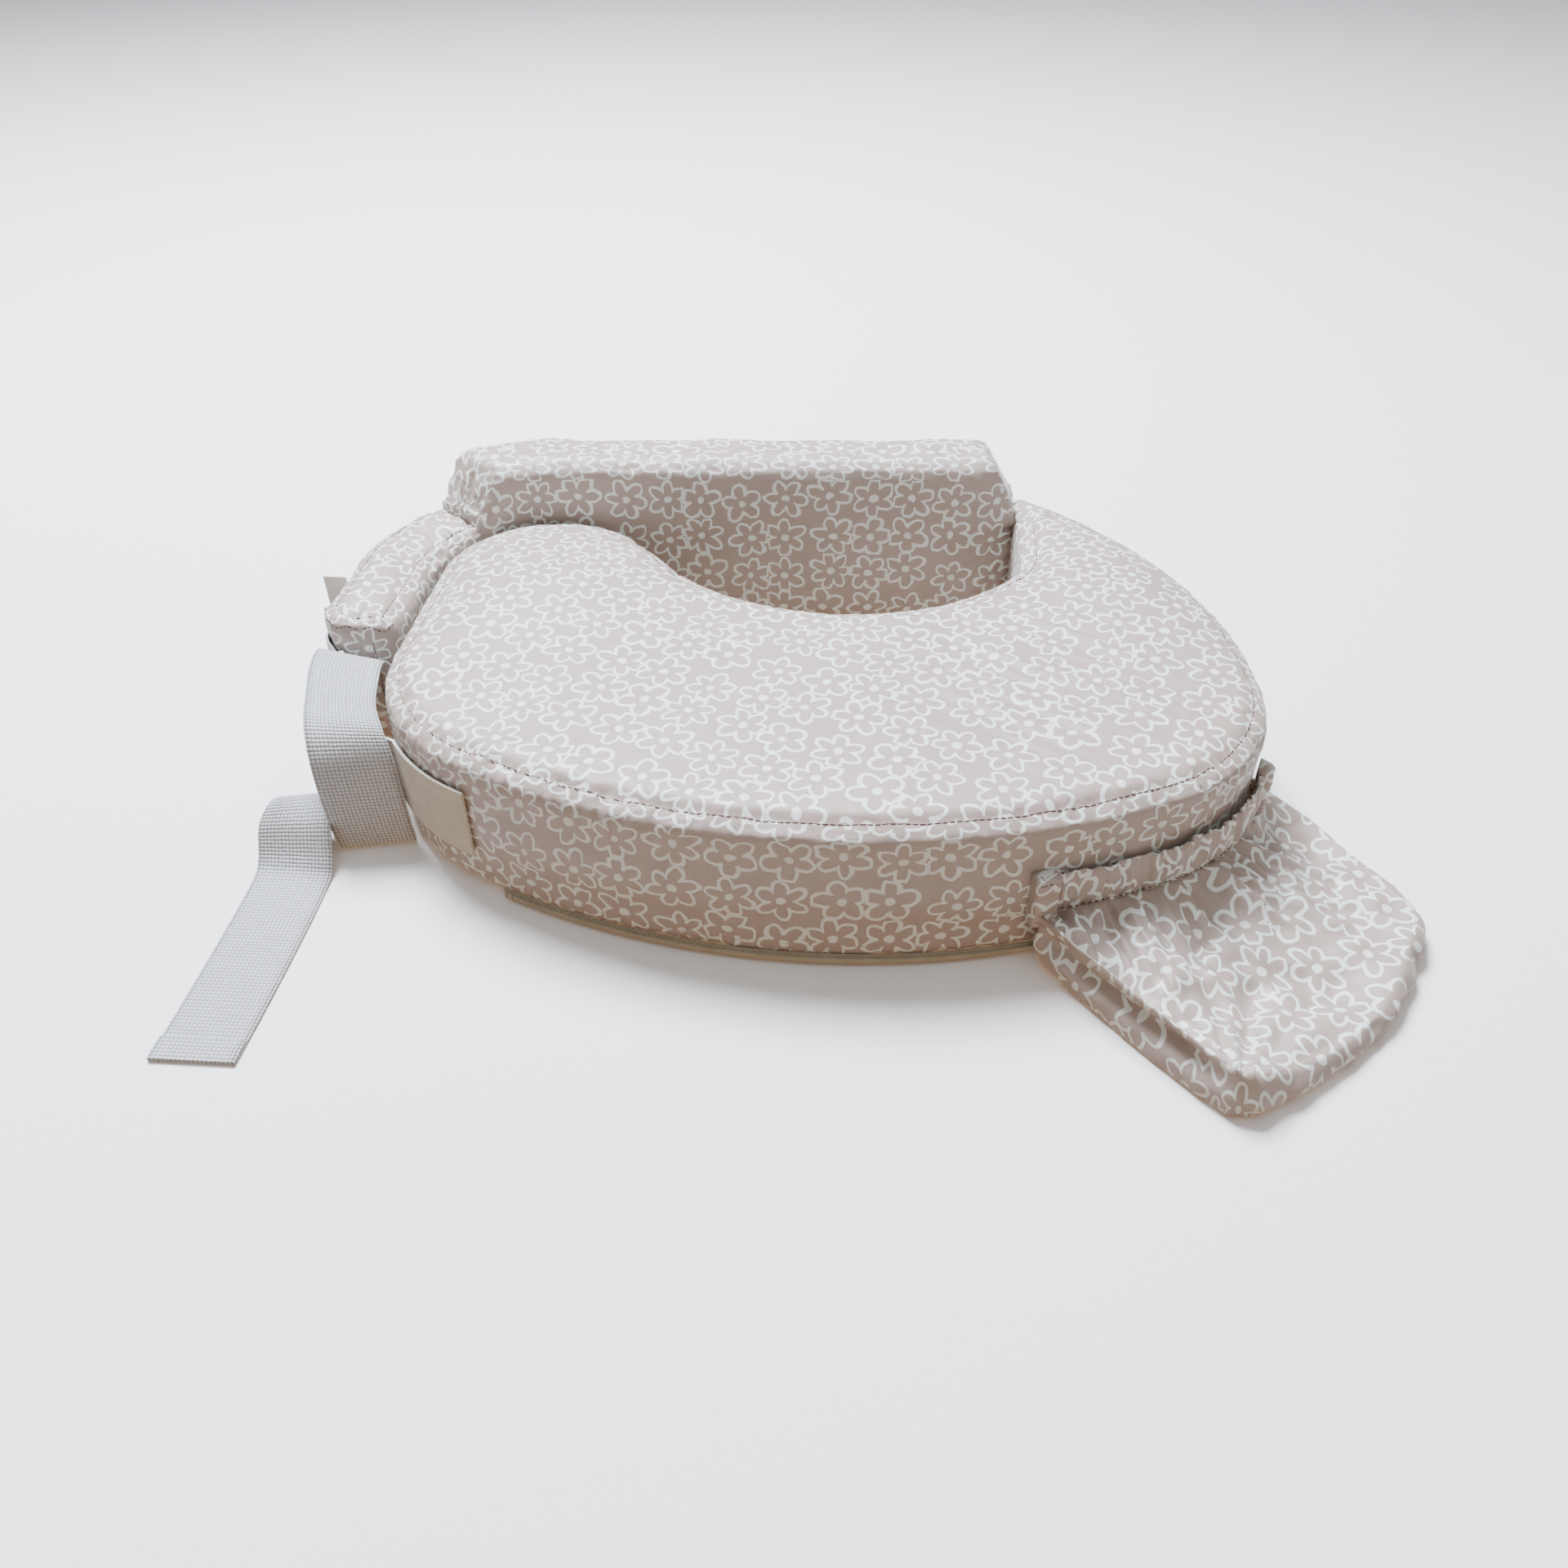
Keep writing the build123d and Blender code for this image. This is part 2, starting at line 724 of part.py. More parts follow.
def pocket_outline(shrink):
    with BuildSketch() as outline:
        with BuildLine():
            Polyline(*pocket_floor, close=True)
        make_face()
        if shrink:
            offset(amount=-shrink, kind=Kind.INTERSECTION)
    return outline.sketch


def pocket_loft(floor_z, shrink, mouth_out, mouth_z):
    brim_z = pocket_brim - shrink
    with BuildPart() as bag:
        for z in (floor_z, brim_z):
            with BuildSketch(Plane.XY.offset(z)):
                add(pocket_outline(shrink))
        loft(ruled=True)
        with BuildSketch(Plane.XY.offset(brim_z)):
            add(pocket_outline(shrink))
        with BuildSketch(Plane.XY.offset(mouth_z)):
            with BuildLine():
                Polyline(*pocket_mouth_points(mouth_out), close=True)
            make_face()
        loft(ruled=True)
    return bag.part


def foot_wedge(centre, radius, first, last, grow):
    """The room left under the bag, beside the wall, that the zip slider runs in."""
    axis = Axis((*centre, 0), (0, 0, 1))
    face = Plane(
        origin=(*centre, 0),
        x_dir=(cos(radians(first)), sin(radians(first)), 0),
        z_dir=(sin(radians(first)), -cos(radians(first)), 0),
    )
    with BuildPart() as wedge:
        with BuildSketch(face):
            with BuildLine():
                Polyline(
                    (radius - 20, -1),
                    (radius + pocket_reach + grow, -1),
                    (radius + pocket_reach + grow, 0),
                    (radius, pocket_foot + grow),
                    (radius - 20, pocket_foot + grow),
                    close=True,
                )
            make_face()
        revolve(axis=axis, revolution_arc=last - first)
    return wedge.part


with BuildPart() as pocket_room:
    with BuildSketch(Plane.XY.offset(-1)):
        add(shelf_outline(-against_wall))
    extrude(amount=shelf_height)
    add(foot_wedge(front_centre, front_radius, zip_left, front_right_angle, 0))
    add(foot_wedge(right_side_centre, side_radius, front_right_angle, 0, 0))

with BuildPart() as pocket_inside:
    add(pocket_loft(pocket_cloth, pocket_cloth, pocket_mouth, hem_bottom))
    add(foot_wedge(front_centre, front_radius, zip_left, front_right_angle, pocket_cloth), mode=Mode.SUBTRACT)
    add(foot_wedge(right_side_centre, side_radius, front_right_angle, 0, pocket_cloth), mode=Mode.SUBTRACT)

with BuildPart() as pocket_bag:
    add(pocket_loft(0, 0, hem_outer, hem_bottom))
    add(pocket_inside.part, mode=Mode.SUBTRACT)
    add(pocket_room.part, mode=Mode.SUBTRACT)
    add(pocket_bindings.part, mode=Mode.SUBTRACT)
finish(pocket_bag, "pocket_bag")

# ---------------------------------------------------------------- buckle, standing on edge
heading = (cos(radians(buckle_heading)), sin(radians(buckle_heading)))
buckle_plane = Plane(
    origin=(*buckle_start, strap_height),
    x_dir=(*heading, 0),
    z_dir=(heading[1], -heading[0], 0),
)
slot_length = webbing_width + 2 * strap_slack
mouth_width = buckle_width - 2 * (buckle_edge + socket_wall)
prong_reach = mouth_width / 2 - prong_clear
socket_start = frame_length + prong_length + prong_gap
prong_tip = frame_length + prong_length

with BuildPart() as buckle_prongs:
    with BuildSketch(buckle_plane.offset(-frame_thickness / 2)):
        with Locations((frame_length / 2, 0)):
            RectangleRounded(frame_length, buckle_width, 5)
        for n in range(2):
            with Locations((bar_width + slot_width / 2 + n * (bar_width + slot_width), 0)):
                RectangleRounded(slot_width, slot_length, 1.5, mode=Mode.SUBTRACT)
    extrude(amount=frame_thickness)
    long_rims = buckle_prongs.edges().filter_by(GeomType.LINE).group_by(SortBy.LENGTH)[-1]
    fillet(long_rims, 1.2)
    with BuildSketch(buckle_plane.offset(-prong_height / 2)):
        with BuildLine():
            for side in (-1, 1):
                outer = side * prong_reach
                inner = side * (prong_reach - prong_head)
                beam = side * (prong_reach - prong_head / 2 + prong_width / 2)
                beam_inner = beam - side * prong_width
                neck = prong_tip - 1.4 * prong_head
                Polyline(
                    (frame_length - 1, beam_inner),
                    (neck, beam_inner),
                    (neck, inner),
                    (prong_tip - prong_head / 2, inner),
                    (prong_tip, inner + side * prong_head / 4),
                    (prong_tip, outer - side * prong_head / 2),
                    (neck + prong_head / 2, outer),
                    (neck, outer),
                    (neck, beam),
                    (frame_length - 1, beam),
                    close=True,
                )
        make_face()
        with Locations((frame_length + prong_length / 2 - 1, 0)):
            RectangleRounded(prong_length, prong_head, 2)
    extrude(amount=prong_height)
finish(buckle_prongs, "buckle_prongs")

socket_end = socket_start + socket_length
window_start = socket_start + 0.35 * socket_length
with BuildPart() as buckle_socket:
    with BuildSketch(buckle_plane.offset(-buckle_thickness / 2)):
        with BuildLine():
            half = buckle_width / 2
            for side in (-1, 1):
                ThreePointArc(
                    (socket_start, side * half),
                    (socket_start + socket_length / 2, side * (half - buckle_edge)),
                    (socket_end, side * half),
                )
            Line((socket_start, -half), (socket_start, half))
            Line((socket_end, -half), (socket_end, half))
        make_face()
    extrude(amount=buckle_thickness)
    rims = buckle_socket.faces().filter_by(lambda f: abs(f.normal_at().dot(buckle_plane.z_dir)) > 0.99)
    fillet(rims.edges(), 2.0)
    with BuildSketch(Plane(origin=buckle_plane.from_local_coords((socket_start, 0, 0)), x_dir=buckle_plane.y_dir, z_dir=buckle_plane.x_dir)):
        RectangleRounded(mouth_width, prong_height + 2 * prong_clear, 1)
    extrude(amount=prong_length + 2 * prong_clear, mode=Mode.SUBTRACT)
    with BuildSketch(buckle_plane.offset(-prong_height / 2 - prong_clear)):
        for side in (-1, 1):
            with Locations((window_start + 0.7 * prong_head, side * buckle_width / 2)):
                RectangleRounded(1.6 * prong_head, 4 * buckle_edge + socket_wall, 2)
    extrude(amount=prong_height + 2 * prong_clear, mode=Mode.SUBTRACT)
    with BuildSketch(buckle_plane.offset(-buckle_thickness)):
        with Locations((socket_end - bar_width - slot_width / 2, 0)):
            RectangleRounded(slot_width, slot_length, 1.5)
    extrude(amount=2 * buckle_thickness, mode=Mode.SUBTRACT)
finish(buckle_socket, "buckle_socket")

# ---------------------------------------------------------------- webbing
strap_bottom = strap_height - webbing_width / 2
half_strap = webbing_thickness / 2
strap_end_gap = 1.6
frame_end = buckle_plane.from_local_coords((-strap_end_gap, 0, 0))
socket_back = buckle_plane.from_local_coords((socket_end + strap_end_gap, 0, 0))

with BuildPart() as shelf_anchor_webbing:
    with BuildSketch(Plane.XY.offset(strap_bottom)):
        with BuildLine() as route:
            near_wall = against_wall + half_strap
            CenterArc(
                front_centre,
                front_radius + near_wall,
                anchor_start_angle,
                front_left_angle + 360 - anchor_start_angle,
            )
            CenterArc(
                left_side_centre,
                side_radius + near_wall,
                front_left_angle,
                anchor_end_angle - 360 - front_left_angle,
            )
            Line(
                on_circle(*left_side_centre, side_radius + near_wall, anchor_end_angle),
                (socket_back.X, socket_back.Y),
            )
        trace(line_width=webbing_thickness)
    extrude(amount=webbing_width)
finish(shelf_anchor_webbing, "shelf_anchor_webbing")

with BuildPart() as arm_webbing:
    corner = (lobe_centre_x - wrap_outer + arm_outer_corner, arm_end_y + arm_outer_corner)
    turn_radius = arm_outer_corner + against_wall + half_strap
    with BuildSketch(Plane.XY.offset(strap_bottom)):
        with BuildLine():
            Line((corner[0] - turn_radius, arm_strap_start_y), (corner[0] - turn_radius, corner[1]))
            CenterArc(corner, turn_radius, 180, arm_strap_turn)
            Line(on_circle(*corner, turn_radius, 180 + arm_strap_turn), (frame_end.X, frame_end.Y))
        trace(line_width=webbing_thickness)
    extrude(amount=webbing_width)
finish(arm_webbing, "arm_webbing")

# the loose end comes over the buckle, drops to the floor, turns and runs out flat
with BuildPart() as strap_tail:
    with BuildSketch(Plane.XY.offset(tail_top)):
        with BuildLine():
            Polyline(*tail_over, close=True)
        make_face()
    extrude(amount=webbing_thickness)
    with BuildSketch():
        with BuildLine():
            Line(tail_over[2], tail_over[3])
        trace(line_width=webbing_thickness)
    extrude(amount=tail_top + half_strap)
    with BuildSketch():
        with BuildLine():
            Polyline(*tail_turn, close=True)
        make_face()
    extrude(amount=tail_arch_height, taper=tail_arch_slope)
    with BuildSketch():
        with Locations((tail_run_x, (tail_run_start + tail_run_end) / 2)):
            Rectangle(webbing_width, tail_run_start - tail_run_end)
    extrude(amount=webbing_thickness)
finish(strap_tail, "strap_tail")

with BuildPart() as care_label:
    with BuildSketch(Plane.XY.offset(label_bottom)):
        with Locations((lobe_centre_x - wrap_outer - against_wall - label_width / 2, label_y + label_width)):
            Rectangle(label_width, label_thickness)
    extrude(amount=label_height)
finish(care_label, "care_label")
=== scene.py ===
import math

import bmesh
import bpy
import numpy as np
from mathutils import Matrix, Vector, noise
from mathutils.bvhtree import BVHTree
from mathutils.kdtree import KDTree


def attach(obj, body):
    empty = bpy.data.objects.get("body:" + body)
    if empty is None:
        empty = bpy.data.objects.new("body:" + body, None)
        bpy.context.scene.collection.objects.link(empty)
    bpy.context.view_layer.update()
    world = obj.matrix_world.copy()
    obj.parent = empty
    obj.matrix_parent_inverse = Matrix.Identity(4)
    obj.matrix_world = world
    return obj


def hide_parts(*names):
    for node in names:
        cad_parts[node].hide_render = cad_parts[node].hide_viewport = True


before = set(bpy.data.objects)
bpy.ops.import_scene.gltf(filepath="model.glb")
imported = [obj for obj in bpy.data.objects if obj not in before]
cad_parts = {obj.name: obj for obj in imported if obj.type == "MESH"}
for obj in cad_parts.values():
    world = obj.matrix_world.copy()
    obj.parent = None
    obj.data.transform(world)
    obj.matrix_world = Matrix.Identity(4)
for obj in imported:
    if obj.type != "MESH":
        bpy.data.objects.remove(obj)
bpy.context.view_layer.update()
scene = bpy.context.scene
MM = 0.001


# ------------------------------------------------------------ small helpers
def colour(code):
    """An sRGB hex value as linear light."""
    parts = [int(code[i:i + 2], 16) / 255 for i in (1, 3, 5)]
    return [p / 12.92 if p <= 0.04045 else ((p + 0.055) / 1.055) ** 2.4 for p in parts] + [1.0]


def add(tree, kind, feeds=(), **settings):
    """One node: `settings` are its properties, and `feeds` its inputs, as values or as sockets.
    A node given as an input stands for its first output."""
    node = tree.nodes.new(kind)
    for key, value in settings.items():
        setattr(node, key, value)
    for key, value in dict(feeds).items():
        socket = node.inputs[key]
        if isinstance(value, bpy.types.Node):
            value = value.outputs[0]
        if isinstance(value, bpy.types.NodeSocket):
            tree.links.new(value, socket)
        else:
            socket.default_value = value
    return node


def finish_of(name):
    """A new material with its tree, its shader and its output."""
    mat = bpy.data.materials.new(name)
    mat.use_nodes = True
    tree = mat.node_tree
    tree.nodes.clear()
    shader = add(tree, "ShaderNodeBsdfPrincipled")
    add(tree, "ShaderNodeOutputMaterial", {"Surface": shader})
    return mat, tree, shader


def smooth(piece):
    for face in piece.data.polygons:
        face.use_smooth = True


def piece_of(mesh, name, body, material):
    piece = bpy.data.objects.new(name, mesh)
    scene.collection.objects.link(piece)
    mesh.materials.clear()
    mesh.materials.append(material)
    smooth(piece)
    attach(piece, body)
    return piece


def applied(piece):
    """The piece's mesh with its modifiers made real."""
    graph = bpy.context.evaluated_depsgraph_get()
    mesh = bpy.data.meshes.new_from_object(piece.evaluated_get(graph))
    old = piece.data
    piece.modifiers.clear()
    piece.data = mesh
    bpy.data.meshes.remove(old)
    return mesh


def points_of(mesh):
    flat = np.empty(len(mesh.vertices) * 3)
    mesh.vertices.foreach_get("co", flat)
    return flat.reshape(-1, 3)


def normals_of(mesh):
    flat = np.empty(len(mesh.vertices) * 3)
    mesh.vertex_normals.foreach_get("vector", flat)
    return flat.reshape(-1, 3)


def put_points(mesh, points):
    mesh.vertices.foreach_set("co", points.ravel())
    mesh.update()


def step(x, low, high):
    t = np.clip((x - low) / (high - low), 0, 1)
    return t * t * (3 - 2 * t)


def grain(points, scale, seed=0.0):
    """Smooth noise at each of the points, from -1 to 1."""
    return np.array([noise.noise(Vector((p[0] * scale, p[1] * scale, p[2] * scale + seed))) for p in points])


# ------------------------------------------------------------ the pillow's lines in plan
BACK = math.radians(4.5)
LOBE = (-0.206, 0.105)
FRONT, FRONT_RADIUS = (0, 0.29985), 0.470
LEFT_SIDE, RIGHT_SIDE, SIDE_RADIUS = (-0.156, 0), (0.156, 0), 0.132
WRAP_INNER, WRAP_OUTER = 0.089, 0.147
BACK_LENGTH = 0.390
SHELF_SEAM, ARM_SEAM = 0.0115, 0.0105


def arc(centre, radius, first, last):
    count = max(3, int(abs(math.radians(last - first)) * radius / 0.0015))
    return [
        (centre[0] + radius * math.cos(math.radians(a)), centre[1] + radius * math.sin(math.radians(a)))
        for a in np.linspace(first, last, count)
    ]


def run(a, b):
    count = max(2, int(math.dist(a, b) / 0.0015))
    return [tuple(np.array(a) + (np.array(b) - np.array(a)) * t) for t in np.linspace(0, 1, count)]


def along_back(u, v):
    return (LOBE[0] + u * math.cos(BACK) - v * math.sin(BACK), LOBE[1] + u * math.sin(BACK) + v * math.cos(BACK))


def shelf_line(inset=0.0):
    """Round the shelf, clockwise from its tip at the right fabric hinge."""
    side = arc((-0.027, 0), 0.315 - inset, 58.6, 0) + arc(RIGHT_SIDE, SIDE_RADIUS - inset, 0, -62.51)
    front = arc(FRONT, FRONT_RADIUS - inset, -62.51, -117.49)
    left = arc(LEFT_SIDE, SIDE_RADIUS - inset, -117.49, -180) + run((inset - 0.288, 0), (inset - 0.288, 0.105))
    lobe = arc(LOBE, 0.082 - inset, 180, 50.25)
    belly = arc((0.005, 0.240), 0.165 + inset, 230.25, 318.4)
    corner = arc((0.091, 0.16365), 0.050 + inset, -41.6, 0)
    return side + front + left + lobe + belly + corner + run((0.141 + inset, 0.1637), (0.141 + inset, 0.2137))


def back_line(inset=0.0):
    inner, outer = WRAP_INNER + inset, WRAP_OUTER - inset
    turn = arc(LOBE, inner, 94.5, 152) + arc(LOBE, outer, 152, 94.5)
    inside = run(along_back(BACK_LENGTH, inner), along_back(0, inner))
    return inside + turn + run(along_back(0, outer), along_back(BACK_LENGTH, outer))


def arm_line(inset=0.0):
    inner, outer = WRAP_INNER + inset, WRAP_OUTER - inset
    return (
        run((LOBE[0] - inner, 0.034), (LOBE[0] - inner, LOBE[1]))
        + arc(LOBE, inner, 180, 122)
        + arc(LOBE, outer, 122, 180)
        + run((LOBE[0] - outer, LOBE[1]), (LOBE[0] - outer, 0.05))
        + arc((-0.327, 0.050), 0.026 - inset, 180, 270)
        + run((-0.327, 0.024 + inset), (-0.305, 0.024 + inset))
        + arc((-0.305, 0.034), 0.010 - inset, 270, 360)
    )


class Line:
    """A line in plan, with how far along it and how far from it a point is."""

    def __init__(self, points):
        self.points = np.array(points)
        gaps = np.linalg.norm(np.diff(self.points, axis=0, append=self.points[:1]), axis=1)
        self.along = np.concatenate([[0], np.cumsum(gaps)[:-1]])
        self.length = gaps.sum()
        self.tree = KDTree(len(points))
        for i, p in enumerate(points):
            self.tree.insert((p[0], p[1], 0), i)
        self.tree.balance()

    def place(self, points):
        """For each point: how far along the line, and how far from it."""
        found = [self.tree.find((p[0], p[1], 0)) for p in points]
        return np.array([self.along[f[1]] for f in found]), np.array([f[2] for f in found])


# ------------------------------------------------------------ finishes
CLOTH_LIT, CLOTH_WORN, PRINT_LINE = "#AFA199", "#A5968D", "#E6EEEA"
FLOWER_PITCH = 0.0325


def printed_cotton(name, tint=CLOTH_LIT):
    """Cotton sateen, woven then screen printed: a satin face with a soft sheen, pale outlined
    flowers about 32 mm across, and threads too fine to see that are drawn 0.7 mm apart."""
    mat, tree, shader = finish_of(name)
    uv = add(tree, "ShaderNodeUVMap", uv_map="cloth")

    # one flower in each cell, with the lines shaken a little as a hand draws them
    wobble = add(tree, "ShaderNodeTexNoise", {"Vector": uv, "Scale": 70.0, "Detail": 1.0}, noise_dimensions="2D")
    shift = add(tree, "ShaderNodeVectorMath", {0: wobble.outputs["Color"], 1: (0.5, 0.5, 0.5)}, operation="SUBTRACT")
    moved = add(tree, "ShaderNodeVectorMath", {0: shift, 1: (0.0032, 0.0032, 0), 2: uv}, operation="MULTIPLY_ADD")
    cells = {"Vector": moved, "Scale": 1 / FLOWER_PITCH, "Randomness": 0.24}
    near = add(tree, "ShaderNodeTexVoronoi", cells, voronoi_dimensions="2D", feature="F1")
    edge = add(tree, "ShaderNodeTexVoronoi", cells, voronoi_dimensions="2D", feature="DISTANCE_TO_EDGE")
    local = add(tree, "ShaderNodeVectorMath", {0: moved, 1: near.outputs["Position"]}, operation="SUBTRACT")
    local = add(tree, "ShaderNodeVectorMath", {0: local, 3: 1 / FLOWER_PITCH}, operation="SCALE")
    luck = add(tree, "ShaderNodeSeparateColor", {0: near.outputs["Color"]})
    parts = add(tree, "ShaderNodeSeparateXYZ", {0: local})
    angle = add(tree, "ShaderNodeMath", {0: parts.outputs[1], 1: parts.outputs[0]}, operation="ARCTAN2")
    reach = add(tree, "ShaderNodeVectorMath", {0: local}, operation="LENGTH").outputs["Value"]

    # petals differ a little in length round each flower
    ring = add(tree, "ShaderNodeVectorMath", {0: local}, operation="NORMALIZE")
    ring = add(
        tree,
        "ShaderNodeVectorMath",
        {0: near.outputs["Color"], 1: (31.0, 31.0, 31.0), 2: ring},
        operation="MULTIPLY_ADD",
    )
    uneven = add(tree, "ShaderNodeTexNoise", {"Vector": ring, "Scale": 0.9, "Detail": 0.0})
    petal_size = add(tree, "ShaderNodeMath", {0: uneven, 1: 0.32, 2: 0.87}, operation="MULTIPLY_ADD")
    flower_size = add(tree, "ShaderNodeMath", {0: luck.outputs[1], 1: 0.12, 2: 0.92}, operation="MULTIPLY_ADD")
    size = add(tree, "ShaderNodeMath", {0: petal_size, 1: flower_size}, operation="MULTIPLY")
    far = add(tree, "ShaderNodeMath", {0: reach, 1: size}, operation="DIVIDE")

    # five to seven petals: the flower folded on to one slice, with its petal's axis along x
    petals = add(tree, "ShaderNodeMath", {0: luck.outputs[2], 1: 1.5, 2: 5.70}, operation="MULTIPLY_ADD")
    petals = add(tree, "ShaderNodeMath", {0: petals}, operation="FLOOR")
    turned = add(tree, "ShaderNodeMath", {0: angle, 1: math.pi}, operation="ADD")
    turned = add(tree, "ShaderNodeMath", {0: luck.outputs[0], 1: 6.283, 2: turned}, operation="MULTIPLY_ADD")
    share = add(tree, "ShaderNodeMath", {0: 2 * math.pi, 1: petals}, operation="DIVIDE")
    half_share = add(tree, "ShaderNodeMath", {0: share, 1: 0.5}, operation="MULTIPLY")
    folded = add(tree, "ShaderNodeMath", {0: turned, 1: share}, operation="MODULO")
    folded = add(tree, "ShaderNodeMath", {0: folded, 1: half_share}, operation="SUBTRACT")
    cosine = add(tree, "ShaderNodeMath", {0: folded}, operation="COSINE")
    sine = add(tree, "ShaderNodeMath", {0: folded}, operation="SINE")
    x = add(tree, "ShaderNodeMath", {0: far, 1: cosine}, operation="MULTIPLY")
    y = add(tree, "ShaderNodeMath", {0: far, 1: sine}, operation="MULTIPLY")

    # how far each point is from the petal's ellipse, in shares of the pitch
    petal_width = add(tree, "ShaderNodeMath", {0: 0.82, 1: petals}, operation="DIVIDE")
    px = add(tree, "ShaderNodeMath", {0: x, 1: 0.285}, operation="SUBTRACT")
    px = add(tree, "ShaderNodeMath", {0: px, 1: 0.215}, operation="DIVIDE")
    py = add(tree, "ShaderNodeMath", {0: y, 1: petal_width}, operation="DIVIDE")
    px_squared = add(tree, "ShaderNodeMath", {0: px, 1: px}, operation="MULTIPLY")
    round_ = add(tree, "ShaderNodeMath", {0: py, 1: py, 2: px_squared}, operation="MULTIPLY_ADD")
    round_ = add(tree, "ShaderNodeMath", {0: round_}, operation="SQRT")
    qx = add(tree, "ShaderNodeMath", {0: px, 1: 0.215}, operation="DIVIDE")
    qy = add(tree, "ShaderNodeMath", {0: py, 1: 0.150}, operation="DIVIDE")
    qx_squared = add(tree, "ShaderNodeMath", {0: qx, 1: qx}, operation="MULTIPLY")
    slope = add(tree, "ShaderNodeMath", {0: qy, 1: qy, 2: qx_squared}, operation="MULTIPLY_ADD")
    slope = add(tree, "ShaderNodeMath", {0: slope}, operation="SQRT")
    slope = add(tree, "ShaderNodeMath", {0: slope, 1: 0.01}, operation="MAXIMUM")
    beyond = add(tree, "ShaderNodeMath", {0: round_, 1: 1.0}, operation="SUBTRACT")
    petal = add(tree, "ShaderNodeMath", {0: round_, 1: beyond}, operation="MULTIPLY")
    petal = add(tree, "ShaderNodeMath", {0: petal, 1: slope}, operation="DIVIDE")

    # petals joined by a round middle, kept clear of the next flower, then outlined
    middle = add(tree, "ShaderNodeMath", {0: far, 1: 0.245}, operation="SUBTRACT")
    bloom = add(tree, "ShaderNodeMath", {0: petal, 1: middle}, operation="MINIMUM")
    border = add(tree, "ShaderNodeMath", {0: 0.022, 1: edge.outputs["Distance"]}, operation="SUBTRACT")
    bloom = add(tree, "ShaderNodeMath", {0: bloom, 1: border}, operation="MAXIMUM")
    line = add(tree, "ShaderNodeMath", {0: bloom}, operation="ABSOLUTE")
    line = add(tree, "ShaderNodeMapRange", {0: line, 1: 0.041, 2: 0.029, 3: 0.0, 4: 1.0})
    heart = add(tree, "ShaderNodeMapRange", {0: far, 1: 0.098, 2: 0.080, 3: 0.0, 4: 1.0})
    ink = add(tree, "ShaderNodeMath", {0: line, 1: heart}, operation="MAXIMUM")
    ink = add(tree, "ShaderNodeMath", {0: ink, 1: 0.93}, operation="MULTIPLY")

    # slow shade differences from handling and folding
    stain = add(tree, "ShaderNodeTexNoise", {"Vector": uv, "Scale": 14.0, "Detail": 3.0}, noise_dimensions="2D")
    ground = add(tree, "ShaderNodeMix", {0: stain, 6: colour(tint), 7: colour(CLOTH_WORN)}, data_type="RGBA")
    face = add(
        tree,
        "ShaderNodeMix",
        {0: ink, 6: ground.outputs[2], 7: colour(PRINT_LINE)},
        data_type="RGBA",
    )
    tree.links.new(face.outputs[2], shader.inputs["Base Color"])
    rough = add(tree, "ShaderNodeMath", {0: ink, 1: -0.04, 2: 0.50}, operation="MULTIPLY_ADD")
    tree.links.new(rough.outputs[0], shader.inputs["Roughness"])
    shader.inputs["Sheen Weight"].default_value = 0.25
    shader.inputs["Sheen Roughness"].default_value = 0.35
    shader.inputs["Specular IOR Level"].default_value = 0.45
    warp = add(
        tree,
        "ShaderNodeTexWave",
        {"Vector": uv, "Scale": 1 / 0.0007 / 6.28, "Distortion": 0.4},
        bands_direction="DIAGONAL",
    )
    crumple = add(
        tree,
        "ShaderNodeTexNoise",
        {"Vector": uv, "Scale": 55.0, "Detail": 4.0, "Roughness": 0.55},
        noise_dimensions="2D",
    )
    fine = add(tree, "ShaderNodeBump", {"Strength": 0.10, "Distance": 0.0002, "Height": warp.outputs["Fac"]})
    soft = add(tree, "ShaderNodeBump", {"Strength": 0.35, "Distance": 0.0012, "Height": crumple, "Normal": fine})
    tree.links.new(soft.outputs[0], shader.inputs["Normal"])
    return mat


def basket_webbing(name, tint, under):
    """Polypropylene webbing in a coarse basket weave: raised dots 2.5 mm apart,
    with a dull gloss on each dot, and painted shade in the gaps between the dots."""
    mat, tree, shader = finish_of(name)
    uv = add(tree, "ShaderNodeUVMap", uv_map="cloth").outputs[0]
    brick = add(
        tree,
        "ShaderNodeTexVoronoi",
        {"Vector": uv, "Scale": 1 / 0.0025, "Randomness": 0.10},
        voronoi_dimensions="2D",
    )
    dots = add(tree, "ShaderNodeMapRange", {0: brick.outputs["Distance"], 1: 0.15, 2: 0.62, 3: 1.0, 4: 0.0}).outputs[0]
    fleck = add(tree, "ShaderNodeTexNoise", {"Vector": uv, "Scale": 400.0, "Detail": 2.0}, noise_dimensions="2D")
    # the gaps between the dots take the `under` colour, a painted shade where the weave dips; the dots keep the
    # webbing's own colour
    light = add(tree, "ShaderNodeMix", {0: dots, 6: colour(under), 7: colour(tint)}, data_type="RGBA")
    face = add(
        tree,
        "ShaderNodeMix",
        {0: 0.12, 6: light.outputs[2], 7: fleck.outputs["Color"]},
        data_type="RGBA",
        blend_type="OVERLAY",
    )
    tree.links.new(face.outputs[2], shader.inputs["Base Color"])
    bump = add(tree, "ShaderNodeBump", {"Strength": 0.9, "Distance": 0.0006, "Height": dots})
    tree.links.new(bump.outputs[0], shader.inputs["Normal"])
    shader.inputs["Roughness"].default_value = 0.48
    shader.inputs["Sheen Weight"].default_value = 0.1
    return mat


